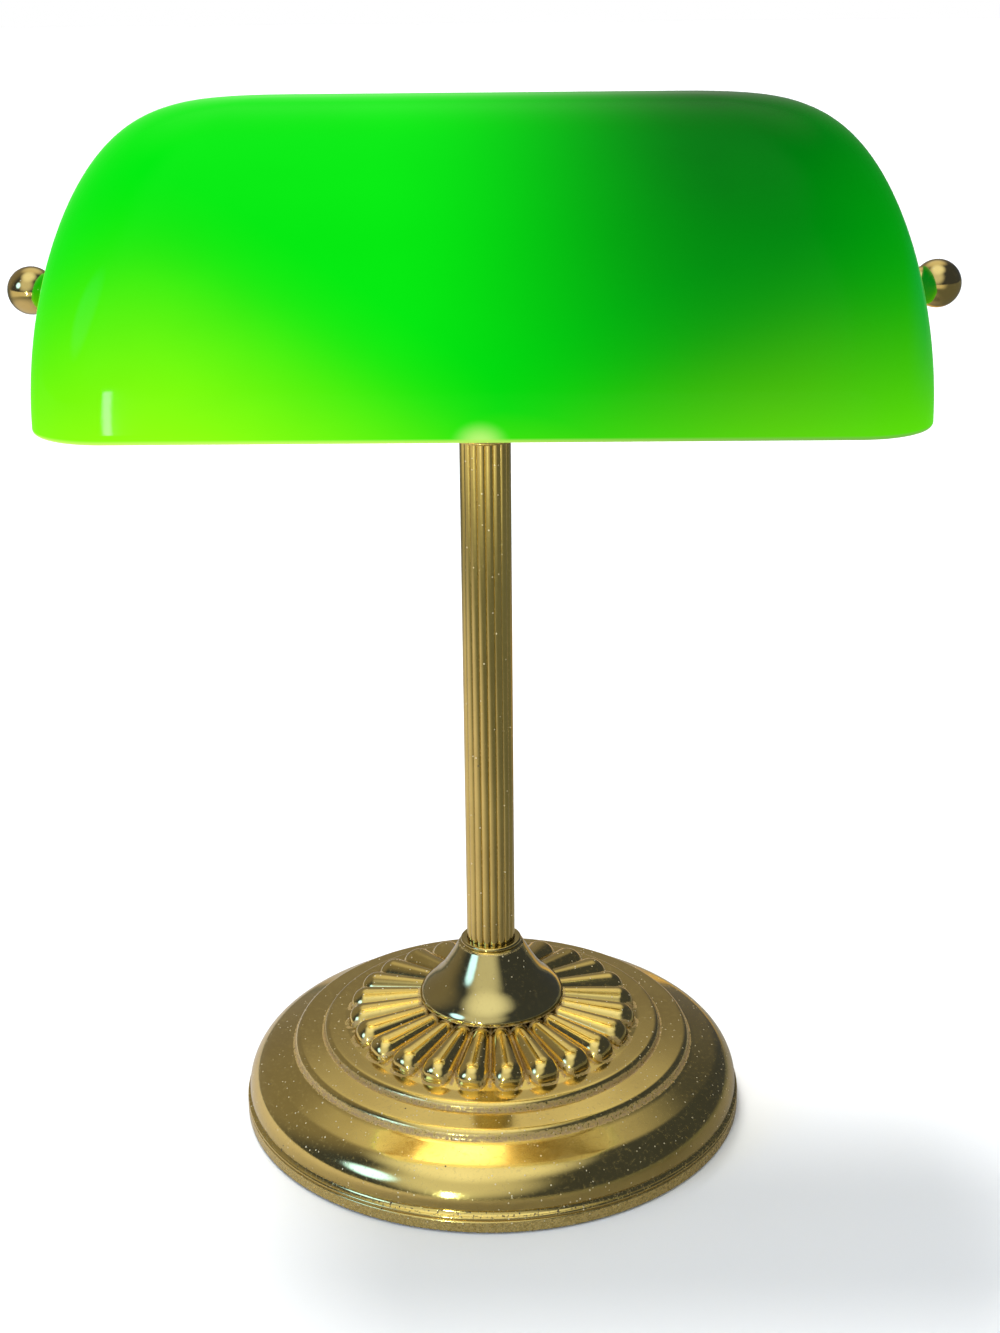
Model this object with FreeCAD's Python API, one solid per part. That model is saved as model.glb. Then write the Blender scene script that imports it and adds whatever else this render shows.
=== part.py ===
"""Banker desk lamp: a reeded brass column on a round gadrooned base carries a yoke, and a trough-shaped
cased-glass shade tilts in the yoke on two studs that are clamped by ball knobs.

Millimetres. +Z is up and +X runs along the shade. The origin is the centre of the underside.
The lamp is built from the table upwards, so every height is worked out from the piece below it.
"""

import FreeCAD
import Part
import math
import os

V = FreeCAD.Vector
X_AXIS = V(1, 0, 0)
Y_AXIS = V(0, 1, 0)
Z_AXIS = V(0, 0, 1)
ORIGIN = V(0, 0, 0)

# ---- clearances -----------------------------------------------------------------------------
RUNNING_GAP = 0.3      # between flat faces of pieces that move against each other
SLIP = 0.1             # radial, round a rod, stud or tube that is pushed into its hole
SHAFT_SLIP = 0.05      # radial, round a shaft that turns

# ---- base -----------------------------------------------------------------------------------
BASE_R = 84.0          # foot band
FOOT_BAND_H = 4.0
FOOT_LIFT = 0.6        # the felt stands this far below the metal
BEAD_R = 0.7
GROOVE_DEPTH = 1.3
SHOULDER_INSET = 0.9   # the shoulder starts this far inside the foot band
SHOULDER_R = 12.2
SHOULDER_SLOPE = 22.0  # degrees, of the cone above the rounded shoulder
SHOULDER_WIDTH = 16.8  # foot band to first crease
STEP_RISER = 0.6
STEP_1_WIDTH = 10.0
STEP_1_ROUND = 2.5
STEP_1_SLOPE = 6.0
STEP_2_WIDTH = 7.9
STEP_2_ROUND = 2.2
STEP_2_SLOPE = 2.0
SHELL_WALL = 1.2

LOBES = 24
LOBE_FILL = 0.95       # share of the pitch that a lobe's width takes
LOBE_END_GAP = 0.7     # lobe tips to the last crease
LOBE_TIP_RISE = 1.4    # lobe centre line above the last crease, at the round tip
LOBE_SLOPE = 11.5      # degrees, rise of the lobe's centre line towards the column
VALLEY_RISE = 2.3      # floor between two lobes above the crease, at the lobes' widest place
LAND_DROP = 1.0        # flat middle of the base below the lobes' crests

FELT_T = 1.6
PLATE_T = 1.8
WEIGHT_GAP = 9.0       # weight to the inside of the shoulder
WEIGHT_T = 11.0
WEIGHT_HUB_R = 17.0
NUT_POCKET_R = 13.0
NUT_POCKET_H = 12.0
CORD_CHANNEL_W = 9.0

BUSHING_RISE = 5.3     # centre of the cord inlet above the start of the shoulder
BUSHING_BORE_R = 2.9
BUSHING_WALL = 1.0
BUSHING_FLANGE_R = 5.2
BUSHING_FLANGE_T = 0.8

# ---- column ---------------------------------------------------------------------------------
ROD_R = 4.9
ROD_BORE_R = 3.3
STEM_R = 8.0
STEM_LENGTH = 172.2
STEM_BORE_R = 6.6
REEDS = 18
REED_DEPTH = 0.6
COLLAR_R = 24.3
COLLAR_H = 21.6
COLLAR_WALL = 1.2
COLLAR_LIP_R = 10.0
COLLAR_LIP = 0.8       # radius of the rolled lip
SEAT_DEPTH = 1.1       # the column stands this deep in the collar and in the cup
CUP_R = 14.2
CUP_H = 7.8
CUP_FOOT_WALL = 1.6
CUP_BAND_H = 2.4

NUT_AF = 14.0          # across flats
NUT_H = 4.6
WASHER_T = 1.2
WASHER_R = 8.0
ROD_STICKS_OUT = 3.0   # past the top nut
ROD_BELOW_NUT = 1.5

# ---- yoke and pivots ------------------------------------------------------------------------
YOKE_T = 2.5
YOKE_W = 12.0
YOKE_BEND_R = 5.0
ARM_RISE = 36.4        # top of the crossbar to the pivot axis
ARM_HEAD_R = 6.6
STUD_R = 2.0
STUD_HEAD_R = 4.0
STUD_HEAD_T = 2.2
STUD_SLOT_W = 0.9
STUD_SLOT_DEPTH = 1.0
INNER_WASHER_T = 2.5
OUTER_WASHER_T = 1.0
WASHER_RUBBER_R = 7.0
BUSH_WALL = 1.8

KNOB_BALL_R = 7.2
KNOB_FLANGE_R = 6.6
KNOB_FLANGE_T = 1.2
KNOB_NECK_R = 5.0
KNOB_NECK_L = 3.0
KNOB_BORE_DEPTH = 8.0

# ---- shade ----------------------------------------------------------------------------------
SHADE_LENGTH = 256.4
SHADE_DEPTH = 134.0
SHADE_H = 89.3
SHADE_WALL = 4.0
SHADE_CORNER_R = 24.0
CREST_LENGTH = 90.0    # straight part of the crest
CREST_WIDTH = 10.0
END_CURVE = 0.41       # exponent of the end profile: small is square, 1 is an ellipse
SIDE_CURVE = 0.84      # exponent of the front and back profile
CROWN_ROUNDNESS = 0.92  # corner radius over half depth at the crest
RIM_ROUND = 1.4
PIVOT_ABOVE_RIM = 33.4
PAD_R = 9.0            # flat ground round each pivot hole

# ---- socket and bulb ------------------------------------------------------------------------
LAMP_AXIS_RISE = 4.0   # bulb axis above the pivot axis
BRACKET_T = 2.5
BRACKET_W = 16.0
BRACKET_HEAD_R = 11.0
NIPPLE_R = 4.9
NIPPLE_BORE_R = 3.4
NIPPLE_OUT = 6.0       # past the bracket
NIPPLE_NUT_AF = 13.0
NIPPLE_NUT_H = 3.0
CAP_BOSS_R = 7.6
CAP_BOSS_L = 2.0
CAP_LENGTH = 12.0
CAP_SKIRT = 3.0        # straight end of the cap, which the shell slips into
CAP_SHEET = 1.0
SOCKET_R = 17.0
SOCKET_SHEET = 0.6
SOCKET_BEAD_R = 0.7
SOCKET_BEAD_BACK = 4.0 # mouth to the bead
SOCKET_LENGTH = 50.0   # bracket to mouth
LINER_T = 0.6
CORE_LENGTH = 14.0
CORE_SETBACK = 14.0    # bracket to the back of the core
SCREW_SHELL_T = 0.4
THREAD_DEPTH = 0.4
THREAD_PITCH = 3.6
CONTACT_T = 0.8
CONTACT_L = 11.0
CONTACT_W = 5.0
TERMINAL_R = 2.4
TERMINAL_H = 1.6
TERMINAL_SHANK_R = 1.2
TERMINAL_SHANK_L = 4.0
TERMINAL_SLOT = 0.7
TERMINAL_OFFSET = 8.0

SWITCH_SHAFT_R = 2.0
SWITCH_SHAFT_DEPTH = 8.0   # into the core
SWITCH_KNOB_R = 6.0
SWITCH_KNOB_L = 11.0
SWITCH_KNOB_GAP = 2.0
SWITCH_KNOB_FLUTES = 12
SWITCH_FLUTE_R = 0.7
SWITCH_KNOB_TAPER = 2.5    # length of the cone at the knob's inner end

BULB_CAP_R = 13.0
BULB_CAP_L = 21.0
BULB_CAP_SHEET = 0.5
BULB_TIP_L = 4.0
BULB_TIP_SHARE = 0.6   # widest part of the insulator, as a share of the cap
BULB_CAP_TAPER = 2.0   # length of the cone at the contact end of the cap
BULB_CONTACT_R = 3.2
BULB_R = 16.0
BULB_LENGTH = 130.0    # contact to far end
BULB_NECK_L = 11.0
BULB_WALL = 0.8
FILAMENT_R = 0.35
FILAMENT_LENGTH = 46.0
FILAMENT_RISE = 5.0
MOUNT_R = 4.0
MOUNT_L = 20.0
SUPPORT_R = 0.4
SUPPORT_HOLD = 2.5     # length of filament that each wire lies against

LEAD_R = 0.95
LEAD_SPACING = 2.1
LEAD_BELOW_ROD = 2.0
LEAD_CLEAR = 1.6       # lead to the underside of the socket
LEAD_LOOP = 15.0       # how far the leads swing out past the bracket
GROMMET_WALL = 1.0
GROMMET_FLANGE = 1.2   # how far its flanges stand out, and their thickness

# ---- heights, worked out upwards ------------------------------------------------------------
plate_bottom = FELT_T
plate_top = plate_bottom + PLATE_T
weight_bottom = plate_top + SLIP
foot_top = FOOT_LIFT + FOOT_BAND_H
bead_top = foot_top + 2 * BEAD_R
shoulder_outer_r = BASE_R - SHOULDER_INSET
shoulder_z = bead_top + GROOVE_DEPTH + 0.6
crease_1_r = BASE_R - SHOULDER_WIDTH
crease_2_r = crease_1_r - STEP_1_WIDTH
crease_3_r = crease_2_r - STEP_2_WIDTH


def tangent_after_round(outer_r, start_z, radius, slope):
    """Where a quarter round that starts upright at (outer_r, start_z) reaches the given slope."""
    angle = math.radians(slope)
    return (outer_r - radius + radius * math.sin(angle), start_z + radius * math.cos(angle))


def cone_height(start, inner_r, slope):
    """Height where a cone of that slope, from the point start, reaches the radius inner_r."""
    return start[1] + (start[0] - inner_r) * math.tan(math.radians(slope))


shoulder_tangent = tangent_after_round(shoulder_outer_r, shoulder_z, SHOULDER_R, SHOULDER_SLOPE)
crease_1_z = cone_height(shoulder_tangent, crease_1_r, SHOULDER_SLOPE)
step_1_tangent = tangent_after_round(crease_1_r, crease_1_z + STEP_RISER, STEP_1_ROUND, STEP_1_SLOPE)
crease_2_z = cone_height(step_1_tangent, crease_2_r, STEP_1_SLOPE)
step_2_tangent = tangent_after_round(crease_2_r, crease_2_z + STEP_RISER, STEP_2_ROUND, STEP_2_SLOPE)
crease_3_z = cone_height(step_2_tangent, crease_3_r, STEP_2_SLOPE)

# A lobe is widest where its round tip ends: its half width there is half of the pitch, times the fill.
lobe_half_pitch = math.pi / LOBES
lobe_tip_r = crease_3_r - LOBE_END_GAP
lobe_wide_r = lobe_tip_r / (1 + lobe_half_pitch * LOBE_FILL)
lobe_wide_half = lobe_wide_r * lobe_half_pitch * LOBE_FILL
lobe_wide_z = crease_3_z + LOBE_TIP_RISE
lobe_rise = math.tan(math.radians(LOBE_SLOPE))
lobe_root_r = COLLAR_R - 3.5


def lobe_axis_z(r):
    """Height of a lobe's centre line at the radius r."""
    return lobe_wide_z + (lobe_wide_r - r) * lobe_rise


def lobe_half_width(r):
    """Half width of a lobe, which is also the height of its crest over its centre line."""
    return r * lobe_half_pitch * LOBE_FILL


collar_bottom = lobe_axis_z(COLLAR_R) + lobe_half_width(COLLAR_R)
land_z = collar_bottom - LAND_DROP
collar_top = collar_bottom + COLLAR_H
stem_bottom = collar_top - SEAT_DEPTH
stem_top = stem_bottom + STEM_LENGTH
cup_bottom = stem_top - SEAT_DEPTH
cup_top = cup_bottom + CUP_H
yoke_bottom = cup_top
yoke_top = yoke_bottom + YOKE_T
bracket_top = yoke_top + BRACKET_T
top_nut_z = bracket_top + WASHER_T
rod_top = top_nut_z + NUT_H + ROD_STICKS_OUT
pivot_z = yoke_top + ARM_RISE
rim_z = pivot_z - PIVOT_ABOVE_RIM
shade_top = rim_z + SHADE_H
lamp_z = pivot_z + LAMP_AXIS_RISE
pocket_top = weight_bottom + NUT_POCKET_H
bottom_washer_z = pocket_top - WASHER_T
bottom_nut_z = bottom_washer_z - NUT_H
rod_bottom = bottom_nut_z - ROD_BELOW_NUT
bushing_z = shoulder_z + BUSHING_RISE
weight_r = shoulder_outer_r - SHELL_WALL - WEIGHT_GAP


# ---- shade profile --------------------------------------------------------------------------
def shade_half_length(climb, inset=0.0):
    """Half length of the shade where its profile has climbed that angle, 0 at the rim, 90 at the crest."""
    return CREST_LENGTH / 2 + (SHADE_LENGTH / 2 - inset - CREST_LENGTH / 2) * math.cos(climb) ** END_CURVE


def shade_half_depth(climb, inset=0.0):
    return CREST_WIDTH / 2 + (SHADE_DEPTH / 2 - inset - CREST_WIDTH / 2) * math.cos(climb) ** SIDE_CURVE


pivot_climb = math.asin(PIVOT_ABOVE_RIM / SHADE_H)
pad_outer_x = shade_half_length(pivot_climb)
pad_inner_x = pad_outer_x - SHADE_WALL
arm_outer_x = pad_inner_x - INNER_WASHER_T - RUNNING_GAP
arm_inner_x = arm_outer_x - YOKE_T
knob_start_x = pad_outer_x + OUTER_WASHER_T + RUNNING_GAP
ball_x = knob_start_x + KNOB_FLANGE_T + KNOB_NECK_L + math.sqrt(KNOB_BALL_R ** 2 - KNOB_NECK_R ** 2)
stud_end_x = knob_start_x + KNOB_BORE_DEPTH - 1.0

# Bulb, socket and the loop of the leads lie midway between the arms of the yoke.
screw_shell_inner_r = BULB_CAP_R + SLIP * 2
contact_back_x = CORE_SETBACK + CORE_LENGTH                    # bracket to the core's front face
lamp_group = contact_back_x + CONTACT_T + RUNNING_GAP + BULB_LENGTH + BRACKET_T + LEAD_LOOP + LEAD_R
bracket_face_x = lamp_group / 2 - LEAD_LOOP - LEAD_R - BRACKET_T
core_front_x = bracket_face_x - contact_back_x
bulb_tip_x = core_front_x - CONTACT_T - RUNNING_GAP
lead_z = lamp_z - SOCKET_R - LEAD_CLEAR - LEAD_R
core_r = SOCKET_R - SOCKET_SHEET - LINER_T - 2 * SLIP
switch_x = bracket_face_x - CORE_SETBACK - CORE_LENGTH / 2
bulb_cap_bore_r = BULB_CAP_R - THREAD_DEPTH - BULB_CAP_SHEET


# ---- ways of making a solid -----------------------------------------------------------------
def closed_face(steps):
    """A face in the XZ plane. A step is a point (r, z), or ("arc", through, end) for a round stretch."""
    start = steps[0]
    here = start
    edges = []
    for step in steps[1:] + [start]:
        if step[0] == "arc":
            through, end = step[1], step[2]
            edges.append(Part.Arc(to_xz(here), to_xz(through), to_xz(end)).toShape())
        elif step[0] == "curve":
            points = [here] + list(step[1])
            end = points[-1]
            spline = Part.BSplineCurve()
            spline.interpolate([to_xz(p) for p in points])
            edges.append(spline.toShape())
        else:
            end = step
            if math.dist(here, end) > 1e-6:
                edges.append(Part.makeLine(to_xz(here), to_xz(end)))
        here = end
    return Part.Face(Part.Wire(edges))


def to_xz(point):
    return V(point[0], 0, point[1])


def turned(steps):
    """A solid of revolution about +Z from an outline of (radius, height) steps."""
    return closed_face(steps).revolve(ORIGIN, Z_AXIS, 360)


def round_corner(centre, radius, start_deg, end_deg):
    """An arc step about centre, from one direction to another, in degrees from the outward direction."""
    middle = (start_deg + end_deg) / 2
    return ("arc", on_circle(centre, radius, middle), on_circle(centre, radius, end_deg))


def on_circle(centre, radius, degrees):
    angle = math.radians(degrees)
    return (centre[0] + radius * math.cos(angle), centre[1] + radius * math.sin(angle))


def disc(radius, bottom, height):
    return Part.makeCylinder(radius, height, V(0, 0, bottom))


def ring(outer_r, inner_r, bottom, height):
    return disc(outer_r, bottom, height).cut(disc(inner_r, bottom - 1, height + 2))


def rod_along(axis, radius, start, length):
    return Part.makeCylinder(radius, length, start, axis)


def facing_x(shape, x, y, z, sign=1):
    """Turns a shape made about +Z to point along +X or -X, and puts its origin at (x, y, z)."""
    turned_shape = shape.copy()
    turned_shape.rotate(ORIGIN, Y_AXIS, 90 * sign)
    turned_shape.translate(V(x, y, z))
    return turned_shape


def facing_y(shape, x, y, z):
    """Turns a shape made about +Z to point along +Y, and puts its origin at (x, y, z)."""
    turned_shape = shape.copy()
    turned_shape.rotate(ORIGIN, X_AXIS, -90)
    turned_shape.translate(V(x, y, z))
    return turned_shape


def hex_nut(across_flats, bore_r, height):
    """A hexagon nut about +Z with its corners chamfered at both faces."""
    corner_r = across_flats / 2 / math.cos(math.radians(30))
    corners = [V(*on_circle((0, 0), corner_r, 60 * k), 0) for k in range(6)]
    prism = Part.Face(Part.makePolygon(corners + corners[:1])).extrude(V(0, 0, height))
    flat_r = across_flats / 2
    drop = (corner_r - flat_r) * math.tan(math.radians(30))
    chamfered = turned([
        (0, 0), (flat_r, 0), (corner_r, drop), (corner_r, height - drop), (flat_r, height), (0, height),
    ])
    return prism.common(chamfered).cut(disc(bore_r, -1, height + 2))


def threaded_outline(radius, start, length, pitch, depth):
    """Steps up a wall whose rings stand in for a screw thread: crests at radius, roots depth below it."""
    rings = max(1, int(length // pitch))
    pitch_used = length / rings
    steps = []
    for k in range(rings):
        low = start + k * pitch_used
        steps.append(("arc", (radius, low + pitch_used / 4), (radius - depth / 2, low + pitch_used / 2)))
        high = low + pitch_used
        steps.append(("arc", (radius - depth, high - pitch_used / 4), (radius - depth / 2, high)))
    return steps


# ---- base -----------------------------------------------------------------------------------
def base_profile(offset, top_z):
    """Outline of the pressed base from the foot to the land, moved inwards and down by offset."""
    slope = math.radians(SHOULDER_SLOPE)
    slope_1 = math.radians(STEP_1_SLOPE)
    slope_2 = math.radians(STEP_2_SLOPE)
    shoulder_centre = (shoulder_outer_r - SHOULDER_R, shoulder_z)
    step_1_centre = (crease_1_r - STEP_1_ROUND, crease_1_z + STEP_RISER)
    step_2_centre = (crease_2_r - STEP_2_ROUND, crease_2_z + STEP_RISER)
    valley_r = lobe_wide_r
    valley_z = crease_3_z + VALLEY_RISE - offset
    steps = [round_corner(shoulder_centre, SHOULDER_R - offset, 0, 90 - SHOULDER_SLOPE)]
    steps.append((crease_1_r - offset * math.tan(slope / 2), crease_1_z - offset))
    if offset:
        steps.append((crease_1_r - offset, crease_1_z + STEP_RISER - offset))
    else:
        steps.append((crease_1_r, crease_1_z + STEP_RISER))
        steps.append(round_corner(step_1_centre, STEP_1_ROUND, 0, 90 - STEP_1_SLOPE))
    steps.append((crease_2_r - offset * math.tan(slope_1 / 2), crease_2_z - offset))
    if offset:
        steps.append((crease_2_r - offset, crease_2_z + STEP_RISER - offset))
    else:
        steps.append((crease_2_r, crease_2_z + STEP_RISER))
        steps.append(round_corner(step_2_centre, STEP_2_ROUND, 0, 90 - STEP_2_SLOPE))
    steps.append((crease_3_r - offset * math.tan(slope_2 / 2), crease_3_z - offset))
    steps.append((valley_r, valley_z))
    steps.append((lobe_root_r, top_z))
    return steps


def base_shell():
    """The pressed brass cover: foot band, bead, shoulder, two steps and a ring of gadroons."""
    bead_centre = (BASE_R - BEAD_R, foot_top + BEAD_R)
    groove_r = shoulder_outer_r - GROOVE_DEPTH / 2
    outer = [
        (0, FOOT_LIFT),
        (BASE_R, FOOT_LIFT),
        (BASE_R, foot_top - BEAD_R),
        (BASE_R - BEAD_R, foot_top),
        ("arc", (bead_centre[0] + BEAD_R, bead_centre[1]), (bead_centre[0], bead_top)),
        ("arc", (groove_r, (bead_top + shoulder_z) / 2), (shoulder_outer_r, shoulder_z)),
    ]
    outer += base_profile(0.0, land_z) + [(0, land_z)]
    inner_r = BASE_R - SHELL_WALL
    inner = [(0, -1), (inner_r, -1), (inner_r, foot_top - 1)]
    inner.append((shoulder_outer_r - SHELL_WALL, foot_top))
    inner.append((shoulder_outer_r - SHELL_WALL, shoulder_z))
    inner += base_profile(SHELL_WALL, land_z - SHELL_WALL) + [(0, land_z - SHELL_WALL)]
    shell = turned(outer).fuse(lobes())
    shell = shell.cut(turned(inner))
    shell = shell.cut(disc(ROD_R + SLIP, land_z - 10, 20))
    return shell.cut(bushing_hole())


def lobe():
    """One gadroon: a tapering round rib with a ball-shaped tip, lying along +X."""
    tilt = math.radians(LOBE_SLOPE)
    root_half = lobe_half_width(lobe_root_r)
    length = (lobe_wide_r - lobe_root_r) / math.cos(tilt)
    tip = lobe_tip_r - lobe_wide_r
    corner = math.sqrt(0.5)
    outline = [
        (0, 0),
        (root_half, 0),
        (lobe_wide_half, length),
        ("arc", (lobe_wide_half * corner, length + tip * corner), (0, length + tip)),
    ]
    body = turned(outline)
    body.rotate(ORIGIN, Y_AXIS, 90 + LOBE_SLOPE)
    body.translate(V(lobe_root_r, 0, lobe_axis_z(lobe_root_r)))
    return body


def lobes():
    """The ring of gadroons, with the valley between two of them facing the front."""
    first = lobe()
    copies = []
    for k in range(LOBES):
        copy = first.copy()
        copy.rotate(ORIGIN, Z_AXIS, -90 + (k + 0.5) * 360 / LOBES)
        copies.append(copy)
    return copies


def bushing_hole():
    return rod_along(Y_AXIS, BUSHING_BORE_R + BUSHING_WALL + SLIP, V(0, weight_r, bushing_z), BASE_R)


def cord_bushing():
    """The soft cord inlet in the back of the base, with a flange that follows the rounded shoulder."""
    centre = (shoulder_outer_r - SHOULDER_R, shoulder_z)
    inner, outer = SHOULDER_R + SLIP, SHOULDER_R + SLIP + BUSHING_FLANGE_T
    rind = turned([
        on_circle(centre, inner, 0),
        on_circle(centre, outer, 0),
        round_corner(centre, outer, 0, 75),
        on_circle(centre, inner, 75),
        round_corner(centre, inner, 75, 0),
    ])
    flange = rind.common(rod_along(Y_AXIS, BUSHING_FLANGE_R, V(0, weight_r, bushing_z), BASE_R))
    start = weight_r + 2 * SLIP
    sleeve = rod_along(Y_AXIS, BUSHING_BORE_R + BUSHING_WALL, V(0, start, bushing_z), BASE_R - start)
    inside_flange = turned([(0, 0), on_circle(centre, outer, 0), round_corner(centre, outer, 0, 75),
                            (0, on_circle(centre, outer, 75)[1])])
    body = flange.fuse(sleeve.common(inside_flange))
    return body.cut(rod_along(Y_AXIS, BUSHING_BORE_R, V(0, start - 1, bushing_z), BASE_R))


def base_weight():
    """Cast iron disc and hub under the cover, with a pocket for the nut and a channel for the cord."""
    hub_top = land_z - SHELL_WALL
    edge = 1.5
    body = turned([
        (0, weight_bottom),
        (weight_r, weight_bottom),
        (weight_r, weight_bottom + WEIGHT_T - edge),
        (weight_r - edge, weight_bottom + WEIGHT_T),
        (WEIGHT_HUB_R + 3, weight_bottom + WEIGHT_T),
        (WEIGHT_HUB_R, weight_bottom + WEIGHT_T + 3),
        (WEIGHT_HUB_R, hub_top),
        (0, hub_top),
    ])
    body = body.cut(disc(NUT_POCKET_R, weight_bottom - 1, NUT_POCKET_H + 1))
    body = body.cut(disc(ROD_R + SLIP, weight_bottom - 1, hub_top))
    channel = Part.makeBox(CORD_CHANNEL_W, weight_r + 1, WEIGHT_T + 2,
                           V(-CORD_CHANNEL_W / 2, 0, weight_bottom - 1))
    return body.cut(channel.cut(disc(WEIGHT_HUB_R - 2, pocket_top, WEIGHT_T)))


def base_plate():
    return disc(BASE_R - SHELL_WALL - SLIP, plate_bottom, PLATE_T)


def felt_pad():
    return disc(BASE_R - SHELL_WALL - 4 * SLIP, 0, FELT_T)


# ---- column ---------------------------------------------------------------------------------
def threaded_rod():
    return ring(ROD_R, ROD_BORE_R, rod_bottom, rod_top - rod_bottom)


def lock_washer(bottom):
    """A split washer: a flat ring with a slanting gap."""
    washer = ring(WASHER_R, ROD_R + SLIP, bottom, WASHER_T)
    gap = Part.makeBox(WASHER_R, 1.2, WASHER_T + 4, V(0, -0.6, bottom - 2))
    gap.rotate(V(WASHER_R / 2, 0, bottom + WASHER_T / 2), X_AXIS, 25)
    return washer.cut(gap)


def nut_on_rod(bottom):
    nut = hex_nut(NUT_AF, ROD_R, NUT_H)
    nut.translate(V(0, 0, bottom))
    return nut


def stem_collar():
    """The trumpet-shaped brass collar between the base and the column, with a rolled lip at the top."""
    rise = COLLAR_H
    flange_top = stem_bottom
    lip = COLLAR_LIP
    seat_r = STEM_R + SLIP

    def flare(offset):
        return [
            (COLLAR_R - 0.25 - offset, collar_bottom + 0.09 * rise),
            (COLLAR_R - 1.9 - offset, collar_bottom + 0.2 * rise),
            (COLLAR_LIP_R + 0.53 * (COLLAR_R - COLLAR_LIP_R) - offset, collar_bottom + 0.42 * rise),
            (COLLAR_LIP_R + 0.27 * (COLLAR_R - COLLAR_LIP_R) - offset, collar_bottom + 0.67 * rise),
            (COLLAR_LIP_R + 0.06 * (COLLAR_R - COLLAR_LIP_R) - offset, collar_top - lip * 1.6),
        ]

    outer = turned([
        (0, collar_bottom),
        (COLLAR_R, collar_bottom),
        ("curve", flare(0)),
        ("arc", (COLLAR_LIP_R + 0.1, collar_top - lip * 0.7), (COLLAR_LIP_R - lip, collar_top)),
        (0, collar_top),
    ])
    hollow = turned([
        (0, collar_bottom - 1),
        (COLLAR_R - COLLAR_WALL, collar_bottom - 1),
        (COLLAR_R - COLLAR_WALL, collar_bottom),
        ("curve", [(r, min(z, flange_top - COLLAR_WALL)) for r, z in flare(COLLAR_WALL)[:4]]),
        (ROD_R + 2.5, flange_top - COLLAR_WALL),
        (0, flange_top - COLLAR_WALL),
    ])
    collar = outer.cut(hollow)
    collar = collar.cut(disc(seat_r, flange_top, SEAT_DEPTH + 1))
    return collar.cut(disc(ROD_R + SLIP, collar_bottom, COLLAR_H))


def stem_tube():
    """The reeded brass column: round ribs side by side round a tube."""
    valley_r = STEM_R - REED_DEPTH
    pitch = 360 / REEDS
    edges = []
    for k in range(REEDS):
        low, middle, high = (k * pitch, (k + 0.5) * pitch, (k + 1) * pitch)
        edges.append(Part.Arc(V(*on_circle((0, 0), valley_r, low), 0),
                              V(*on_circle((0, 0), STEM_R, middle), 0),
                              V(*on_circle((0, 0), valley_r, high), 0)).toShape())
    tube = Part.Face(Part.Wire(edges)).extrude(V(0, 0, STEM_LENGTH))
    tube = tube.cut(disc(STEM_BORE_R, -1, STEM_LENGTH + 2))
    tube.translate(V(0, 0, stem_bottom))
    return tube


def stem_cup():
    """The turned cup on top of the column that the yoke is clamped to."""
    lip_r = STEM_R + CUP_FOOT_WALL
    shoulder_h = CUP_BAND_H
    body = turned([
        (0, cup_bottom),
        (lip_r - 0.5, cup_bottom),
        ("arc", (lip_r - 0.15, cup_bottom + 0.15), (lip_r, cup_bottom + 0.5)),
        ("arc", (lip_r + 0.28 * (CUP_R - lip_r), cup_bottom + CUP_H * 0.44), (CUP_R, cup_top - shoulder_h)),
        ("arc", (CUP_R + 0.25, cup_top - shoulder_h / 2), (CUP_R - 0.3, cup_top)),
        (0, cup_top),
    ])
    body = body.cut(disc(STEM_R + SLIP, cup_bottom - 1, SEAT_DEPTH + 1))
    return body.cut(disc(ROD_R + SLIP, cup_bottom - 1, CUP_H + 2))


# ---- yoke and pivots ------------------------------------------------------------------------
def yoke():
    """One flat brass strip: a crossbar bent up into an arm at each end, with a round head for the stud."""
    outer_bend = YOKE_BEND_R + YOKE_T
    bend_x = arm_inner_x - YOKE_BEND_R
    bend_z = yoke_top + YOKE_BEND_R
    left, right = (-bend_x, bend_z), (bend_x, bend_z)
    section = closed_face([
        (-arm_outer_x, pivot_z),
        (-arm_outer_x, bend_z),
        round_corner(left, outer_bend, 180, 270),
        (bend_x, yoke_bottom),
        round_corner(right, outer_bend, 270, 360),
        (arm_outer_x, pivot_z),
        (arm_inner_x, pivot_z),
        (arm_inner_x, bend_z),
        round_corner(right, YOKE_BEND_R, 360, 270),
        (-bend_x, yoke_top),
        round_corner(left, YOKE_BEND_R, 270, 180),
        (-arm_inner_x, pivot_z),
    ])
    section.translate(V(0, -YOKE_W / 2, 0))
    strip = section.extrude(V(0, YOKE_W, 0))
    heads = [rod_along(X_AXIS, ARM_HEAD_R, V(x, 0, pivot_z), YOKE_T) for x in (-arm_outer_x, arm_inner_x)]
    strip = strip.fuse(heads).removeSplitter()
    strip = strip.cut(rod_along(X_AXIS, STUD_R + SLIP, V(-arm_outer_x - 1, 0, pivot_z), 2 * arm_outer_x + 2))
    return strip.cut(disc(ROD_R + SLIP, yoke_bottom - 1, YOKE_T + 2))


def pivot_stud(side):
    """The screw that a knob clamps: a slotted head inside the arm and a shank out through the shade."""
    shank_l = stud_end_x - arm_inner_x
    body = turned([
        (0, -STUD_HEAD_T),
        (STUD_HEAD_R * 0.45, -STUD_HEAD_T),
        ("arc", (STUD_HEAD_R * 0.85, -STUD_HEAD_T * 0.72), (STUD_HEAD_R, 0)),
        (STUD_R, 0),
        (STUD_R, shank_l),
        (0, shank_l),
    ])
    slot_x = STUD_HEAD_R + 1
    slot = Part.makeBox(2 * slot_x, STUD_SLOT_W, 2 * STUD_SLOT_DEPTH,
                        V(-slot_x, -STUD_SLOT_W / 2, -STUD_HEAD_T - STUD_SLOT_DEPTH))
    return facing_x(body.cut(slot), side * arm_inner_x, 0, pivot_z, side)


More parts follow.
